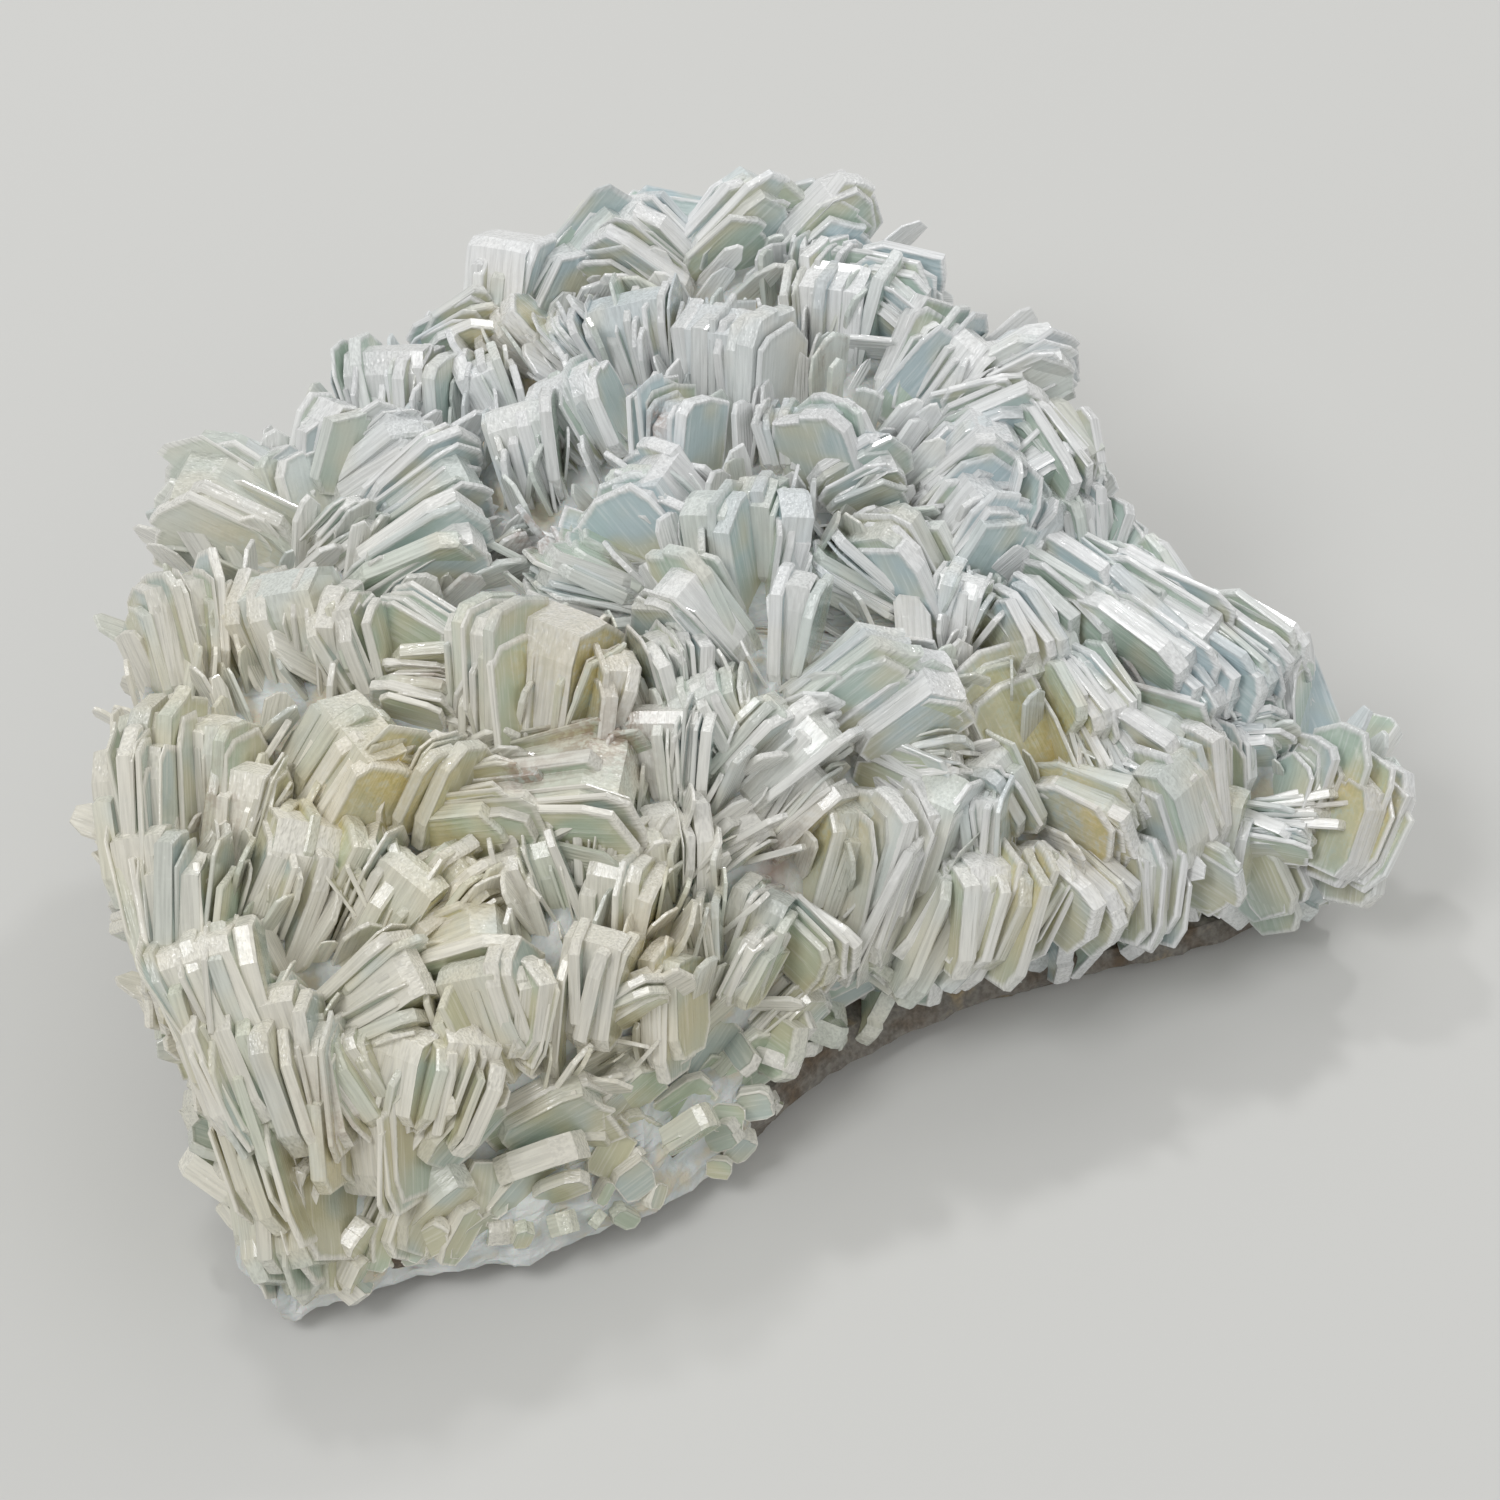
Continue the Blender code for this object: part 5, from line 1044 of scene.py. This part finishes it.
stream = random.Random(BLADE_SEED)
for row in BOOKS:
    stack = (row[9] - 1) * row[10] + row[8]
    stout = 1 if stack < ONE_BLADE_STACK else 2 if stack < TWO_BLADE_STACK else 3
    for _ in range(stout * DRAWS_PER_BLADE):
        stream.random()
for i in range(FAR_EDGE_FIRST, FAR_EDGE_LAST):
    foot, edge = np.array(FOOTPRINT[i], float), np.array(BLADE_EDGE[i], float)
    outward = edge - np.array(FAR_MIDDLE)
    for height, share in FAR_TIERS:
        place = foot + (edge - foot) * share
        rise = math.radians(stream.uniform(*FAR_RISE))
        heading = math.atan2(outward[1], outward[0])
        heading += math.radians(stream.uniform(-FAR_SWING, FAR_SWING))
        along, across, normal = outward_axes(
            heading, rise, math.radians(stream.uniform(-FAR_ROLL, FAR_ROLL)))
        tip = np.array([*place, min(height, tip_at(place) - FAR_TIP_MARGIN)])
        for _ in range(DRAWS_PER_FAR_BLADE):
            stream.random()
        for step in FAR_FAN:
            size = (FAR_LONG * (1.0 if step == 0 else fine.uniform(*FAR_SHORTER)),
                    FAR_WIDE * fine.uniform(*FAR_NARROWER), fine.uniform(*FAR_THICK))
            ahead, flat = turned(along, normal, FAR_FAN_STEP * step)
            centre = tip - ahead * FAR_LONG / 2 + normal * step * FAR_FAN_PITCH
            plant("far", centre, ahead, across, flat, size, FAR_FROST, fine)
print(len(blade_rows["far"]), "blades on the far walls")

# %% [markdown]
# A tree that grows blades on points. Each point carries its blade's axes, size, shape number,
# tint and frost as named attributes. Axes to Rotation turns the two axes into a rotation, Instance
# on Points sets the right shape there, and the size stretches it. Instances don't survive the
# export, so they are made real, and then they get their skin.

# %% Geometry Nodes: blades on points
NAMED, VECTORS = "GeometryNodeInputNamedAttribute", {"data_type": "FLOAT_VECTOR"}


def set_blades(add, points, given, axes, number, size):
    """Puts a shape of the collection on each point, picked by its number, turned and stretched."""
    shapes = add("GeometryNodeCollectionInfo", 0, {
        "Collection": given["Shapes"], "Separate Children": True, "Reset Children": True})
    turn = add("FunctionNodeAxesToRotation", 0, axes, primary_axis="X", secondary_axis="Z")
    return add("GeometryNodeInstanceOnPoints", 0, {
        "Points": points, "Instance": shapes, "Pick Instance": True, "Instance Index": number,
        "Rotation": turn, "Scale": size})


def blades_tree():
    tree, add, given = new_tree("Grow blades on points",
                                [("Shapes", "Collection"), ("Skin", "Material")])
    along, facing, size = (add(NAMED, "Attribute", {"Name": name}, **VECTORS)
                           for name in ("along", "facing", "size"))
    number = add(NAMED, "Attribute", {"Name": "shape"}, data_type="INT")
    blades = set_blades(add, given["Geometry"], given, (along, facing), number, size)
    return end_tree(tree, add, blades, given["Skin"])


def blade_points(name, rows):
    """A mesh of loose points, one for each blade, with its facts as attributes."""
    centres, along, facing, size, shape, tint, frost = zip(*rows)
    data = bpy.data.meshes.new(name)
    data.from_pydata([tuple((centre + ORIGIN_SHIFT) * MM) for centre in centres], [], [])
    for key, values in (("along", along), ("facing", facing), ("size", np.array(size) * MM)):
        store(data, key, values, "FLOAT_VECTOR")
    store(data, "shape", shape, "INT")
    store(data, "tint", tint)
    store(data, "frost", frost)
    return show(name, data)


def belongs(piece, node="barite_crystals"):
    """Ties a finished piece to the CAD model: it rides with it and stands for one of its nodes."""
    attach(piece, "root")
    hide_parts(node)
    print(piece.name, len(piece.data.polygons), "faces")


grow_blades = blades_tree()
for group, name in (("seen", "crown_blades"), ("wall", "near_wall_blades"),
                    ("far", "far_wall_blades")):
    points = blade_points(name + "_points", blade_rows[group])
    piece = run_tree(name, points, grow_blades, shapes=blade_shapes, skin=blade_skin)
    belongs(mark_surface(piece))
belongs(root_mass)

# %% [markdown]
# The apron. At the near corner, and along the wall to its right, the crystals merge downwards into
# a lumpy mass of white to bluish barite that covers the rock. It is a ring loft like the root
# mass, but only these stretches of the footprint stand out; the others stay hidden inside.

# %% The massive apron at the near corner
APRON_STRETCHES, APRON_OUT, APRON_HIDDEN = (30, 31, 32, 0, 1, 2, 3, 4), -1.0, 9.0
APRON_LEVELS = ((1.9, 1.0), (3.5, 0.0), (7.0, 1.4), (11.0, 4.5))
APRON_PEAK = 14.0


def apron_rings():
    """Rings of the apron: each level is a height and how far it lies inside the widest one."""
    outs = [APRON_OUT if i in APRON_STRETCHES else APRON_HIDDEN for i in range(len(FOOTPRINT))]
    return [[(*inset(point, out + back), height) for point, out in zip(FOOTPRINT, outs)]
            for height, back in APRON_LEVELS]


apron_base = to_object("apron_base", ring_loft(apron_rings(), (*SPINE_MIDDLE, APRON_PEAK)))
apron = mark_surface(run_tree("apron", apron_base, roughen, grain=4 * MM, relief=5 * MM,
                              underside=-1.0, levels=3, skin=mass_skin))
belongs(apron)

# %% [markdown]
# Splinters. The root mass is covered with a second growth of small thin blades, which glint
# between the large ones. A tree scatters points on the root mass, turns each splinter like the
# nearest blade and a little outwards, and gives it a random size. Its main numbers are inputs.

# %% Geometry Nodes: splinters on the root mass
SPLINTERS_PER_M2, SPLINTER_SPACING, SPLINTER_LOWEST = 170000.0, 1.5 * MM, 15 * MM
SPLINTER_LONG, SPLINTER_TILT = (4.0 * MM, 9.0 * MM), 0.5
SPLINTER_WIDE, SPLINTER_THICK, SHARE_SPREAD = 0.4, 0.062, {2: 0.65, 3: 1.4}
SCATTER_SEED, OUTWARD_SHARE, LIFT_SHARE = 4, 0.45, 0.3
RANDOM = "FunctionNodeRandomValue"


def splinters_tree():
    """Random numbers for each point keep their sockets where their kind puts them: a vector's
    lowest and highest value are inputs 0 and 1, a number's 2 and 3, a whole number's 4 and 5."""
    tree, add, given = new_tree("Scatter splinters", [
        ("Density", SPLINTERS_PER_M2), ("Spacing", SPLINTER_SPACING),
        ("Shortest", SPLINTER_LONG[0]), ("Longest", SPLINTER_LONG[1]), ("Tilt", SPLINTER_TILT),
        ("Lowest", SPLINTER_LOWEST), ("Highest", 1.0), ("Width share", SPLINTER_WIDE),
        ("Thickness share", SPLINTER_THICK), ("Shapes", "Collection"), ("Books", "Object"),
        ("Skin", "Material")])
    height = add("ShaderNodeSeparateXYZ", "Z", [add("GeometryNodeInputPosition")])
    between = add("FunctionNodeBooleanMath", 0, [
        add("FunctionNodeCompare", 0, (height, given[limit]), operation=test)
        for limit, test in (("Lowest", "GREATER_THAN"), ("Highest", "LESS_THAN"))])
    points = add("GeometryNodeDistributePointsOnFaces", "Points", {
        "Mesh": given["Geometry"], "Selection": between, "Distance Min": given["Spacing"],
        "Density Max": given["Density"], "Seed": SCATTER_SEED}, distribute_method="POISSON")
    outwards = points.node.outputs["Normal"]
    books = add("GeometryNodeObjectInfo", "Geometry", {"Object": given["Books"]})
    nearest = add("GeometryNodeSampleNearest", 0, {"Geometry": books}, domain="POINT")
    along, facing = (add("GeometryNodeSampleIndex", 0, {
        "Geometry": books, "Value": add(NAMED, "Attribute", {"Name": name}, **VECTORS),
        "Index": nearest}, domain="POINT", **VECTORS) for name in ("along", "facing"))
    lean = add(RANDOM, 0, {0: (-1.0, -1.0, -1.0), 1: (1.0, 1.0, 1.0), "Seed": 1}, **VECTORS)
    for turn, share in ((outwards, OUTWARD_SHARE), (lean, given["Tilt"])):
        turn = add(VECTOR_MATH, 0, {0: turn, "Scale": share}, operation="SCALE")
        along = add(VECTOR_MATH, 0, (along, turn), **PLUS)
    along = add(VECTOR_MATH, 0, [along], operation="NORMALIZE")
    facing = add(VECTOR_MATH, 0, (facing, add(
        RANDOM, 0, {0: (-0.4, -0.4, -0.4), 1: (0.4, 0.4, 0.4), "Seed": 2}, **VECTORS)), **PLUS)
    long = add(RANDOM, 1, {2: given["Shortest"], 3: given["Longest"], "Seed": 3},
               data_type="FLOAT")
    shares = add("ShaderNodeCombineXYZ", 0, (1.0, given["Width share"], given["Thickness share"]))
    spread = add("ShaderNodeCombineXYZ", 0, [1.0] + [
        add(RANDOM, 1, {**SHARE_SPREAD, "Seed": seed}, data_type="FLOAT") for seed in (5, 6)])
    size = add(VECTOR_MATH, 0, {
        0: add(VECTOR_MATH, 0, (shares, spread), **TIMES), "Scale": long}, operation="SCALE")
    tint = add(RANDOM, 1, {2: 0.0, 3: 1.0, "Seed": 7}, data_type="FLOAT")
    for name, kind, value in (("size", "FLOAT_VECTOR", size), ("tint", "FLOAT", tint)):
        points = add("GeometryNodeStoreNamedAttribute", 0,
                     {"Geometry": points, "Name": name, "Value": value},
                     data_type=kind, domain="POINT")
    lift = along
    for share in (long, LIFT_SHARE):
        lift = add(VECTOR_MATH, 0, {0: lift, "Scale": share}, operation="SCALE")
    raised = add("GeometryNodeSetPosition", 0, {"Geometry": points, "Offset": lift})
    number = add(RANDOM, 2, {4: 0, 5: SHAPE_COUNT - 1, "Seed": 8}, data_type="INT")
    size = add(NAMED, "Attribute", {"Name": "size"}, **VECTORS)
    blades = set_blades(add, raised, given, (along, facing), number, size)
    return end_tree(tree, add, blades, given["Skin"])


scatter_splinters = splinters_tree()
book_axes_points = blade_points("book_axes", sum(blade_rows.values(), []))


def scatter(name, ground, shapes, skin, **settings):
    """Small crystals on a surface, turned like the nearest blades."""
    base = show(name + "_ground", ground.data.copy())
    for mark in ("depth", "stain", "hole_shade"):
        base.data.attributes.remove(base.data.attributes[mark])
    belongs(mark_surface(run_tree(name, base, scatter_splinters, books=book_axes_points,
                                  shapes=shapes, skin=skin, **settings)))


scatter("splinters", root_mass, splinter_shapes, splinter_skin)

# %% [markdown]
# The same tree with other numbers gives the stubby, block-like crystals that crowd the apron:
# fewer and wider, and half as thick as they are wide. Two more rows of numbers set small lumps,
# turned every way, on the apron, and thinner crystals on the band between the rock and the books.

# %% Stubby crystals, lumps and wall crystals
SMALL_CRYSTALS = {
    "stubby_crystals": (apron, {
        "density": 60000.0, "spacing": 2.6 * MM, "shortest": 5.0 * MM, "longest": 8.5 * MM,
        "tilt": 0.35, "lowest": 6.0 * MM, "width_share": 0.6, "thickness_share": 0.3}),
    "apron_lumps": (apron, {
        "density": 150000.0, "spacing": 1.8 * MM, "shortest": 2.2 * MM, "longest": 4.0 * MM,
        "tilt": 1.0, "lowest": 4.3 * MM, "highest": 9.0 * MM, "width_share": 0.8,
        "thickness_share": 0.55}),
    "wall_crystals": (root_mass, {
        "density": 60000.0, "spacing": 2.4 * MM, "shortest": 5.0 * MM, "longest": 9.0 * MM,
        "tilt": 0.6, "lowest": 7.5 * MM, "highest": 17.0 * MM, "width_share": 0.6,
        "thickness_share": 0.15}),
}
for name, (ground, settings) in SMALL_CRYSTALS.items():
    scatter(name, ground, blade_shapes, blade_skin, **settings)
bpy.data.objects.remove(book_axes_points, do_unlink=True)

# %% [markdown]
# The rock. Under the crystals is a crust of the vein's wall rock, broken all round and sawn flat
# below, which the cluster stands on. Its rings follow the footprint, a little inside the crystals.
# Broken limestone is matt and grainy, so its skin is rough, brown-grey, and has no milkiness.

# %% The rock crust
ROCK_BROWN, ROCK_GREY, ROCK_BUFF = "#5B4B3A", "#77726A", "#8E7C5E"
ROCK_PATCH_MM, ROCK_GRAIN_MM = 4.0, 0.5
ROCK_BUMP = (0.8, 0.4 * MM)
CRUST_INSET, CRUST_SKIRT, CRUST_SEED = 1.6, 1.2, 3
CRUST_FOOT_SPREAD, CRUST_WAIST_SPREAD = (0.0, 1.2), (-0.4, 0.8)
CRUST_TOP_SPREAD, CRUST_WAIST_HEIGHT = (-0.4, 0.6), (0.4, 0.6)


def rock_skin():
    """Broken silicified limestone: brown-grey, matt, with buff patches and fine grain."""
    material, add, place = new_skin("Broken vein rock")
    grains = ((ROCK_PATCH_MM, 5.0, 0.5), (ROCK_GRAIN_MM, 4.0, 0.5))
    patches, grain = patterns(add, place, grains)
    skin = layered(add, ROCK_BROWN, (
        (add(RANGE, 0, (patches, 0.35, 0.6), **SOFT), ROCK_GREY, "MIX"),
        (add(RANGE, 0, (patches, 0.58, 0.75), **SOFT), ROCK_BUFF, "MIX"),
        (1.0, add(RANGE, 0, (grain, 0.3, 0.7, 0.55, 1.0), **SOFT), "MULTIPLY"),
    ))
    rough = add(RANGE, 0, (grain, 0.3, 0.7, 0.75, 0.95), **SOFT)
    return finish_skin(material, grain, *ROCK_BUMP, {"Base Color": skin, "Roughness": rough})


def crust_rings():
    rng = random.Random(CRUST_SEED)
    rings = [[], [], []]
    for point in FOOTPRINT:
        low = inset(point, CRUST_INSET + rng.uniform(*CRUST_FOOT_SPREAD))
        middle = inset(point, rng.uniform(*CRUST_WAIST_SPREAD))
        top = inset(point, CRUST_SKIRT + rng.uniform(*CRUST_TOP_SPREAD))
        height = crust_height(top[0]) - HALF_GAP
        rings[0].append((*low, 0.0))
        rings[1].append((*middle, height * rng.uniform(*CRUST_WAIST_HEIGHT)))
        rings[2].append((*top, height))
    return rings


rock_base = to_object("rock_base", ring_loft(crust_rings()))
rock_crust = run_tree("rock_crust", rock_base, roughen, grain=3 * MM, relief=2 * MM,
                      underside=0.3 * MM, levels=3, skin=rock_skin())
belongs(mark_surface(rock_crust), "matrix")

# %% [markdown]
# The set. A pale floor and a pale sky give even light. A key lamp high on the left and two weaker
# ones, to the right and behind, shape the cluster. Two small hard lamps behind it give the glints
# on the rims. The photograph is soft and bright in its middle tones, so the view's gamma is raised
# and its exposure lowered to match.

# %% Floor and lights
FLOOR_PALE, SKY_PALE, SKY_STRENGTH = "#C9C9C6", "#F4F4F2", 0.62
FLOOR_RADIUS, FLOOR_GAP, FLOOR_ROUGHNESS = 3.0, 0.1 * MM, 0.8
LAMP_AIM, VIEW_GAMMA, VIEW_EXPOSURE = (0.0, 0.0, 0.02), 1.3, -0.5
LAMPS = (
    # Name, azimuth and elevation in degrees, distance and size in metres, and watts.
    ("key_lamp", -50, 55, 0.8, 0.28, 2.9),
    ("fill_lamp", 60, 35, 0.9, 0.6, 0.9),
    ("back_lamp", 170, 60, 0.9, 0.4, 0.8),
    ("left_glint_lamp", 155, 42, 0.9, 0.07, 1.6),
    ("right_glint_lamp", 212, 54, 0.9, 0.07, 1.6),
)


def floor():
    mesh = bmesh.new()
    bmesh.ops.create_circle(mesh, cap_ends=True, segments=64, radius=FLOOR_RADIUS)
    made = show("floor", to_mesh("floor", mesh))
    material = bpy.data.materials.new("Matt table")
    material.use_nodes = True
    fill(material.node_tree, material.node_tree.nodes["Principled BSDF"],
         {"Base Color": linear(FLOOR_PALE), "Roughness": FLOOR_ROUGHNESS})
    made.data.materials.append(material)
    made.location.z = -FLOOR_GAP


def lamp(name, azimuth, elevation, distance, size, watts):
    """A square area lamp that points at the cluster from this direction."""
    data = bpy.data.lights.new(name, "AREA")
    data.size, data.energy = size, watts
    made = show(name, data)
    a, e = math.radians(azimuth), math.radians(elevation)
    back = Vector((math.sin(a) * math.cos(e), -math.cos(a) * math.cos(e), math.sin(e)))
    made.location = back * distance + Vector(LAMP_AIM)
    made.rotation_mode = "QUATERNION"
    made.rotation_quaternion = back.to_track_quat("Z", "Y")


floor()
for row in LAMPS:
    lamp(*row)
scene = bpy.context.scene
scene.world = bpy.data.worlds.new("pale_sky")
scene.world.use_nodes = True
fill(scene.world.node_tree, scene.world.node_tree.nodes["Background"],
     {"Color": linear(SKY_PALE), "Strength": SKY_STRENGTH})
scene.view_settings.view_transform = "Standard"
scene.view_settings.gamma, scene.view_settings.exposure = VIEW_GAMMA, VIEW_EXPOSURE
print(len(LAMPS), "lamps and a pale sky")

# %% Finish
for shapes in (blade_shapes, splinter_shapes):
    for shape in list(shapes.objects):
        bpy.data.objects.remove(shape, do_unlink=True)
    bpy.data.collections.remove(shapes)
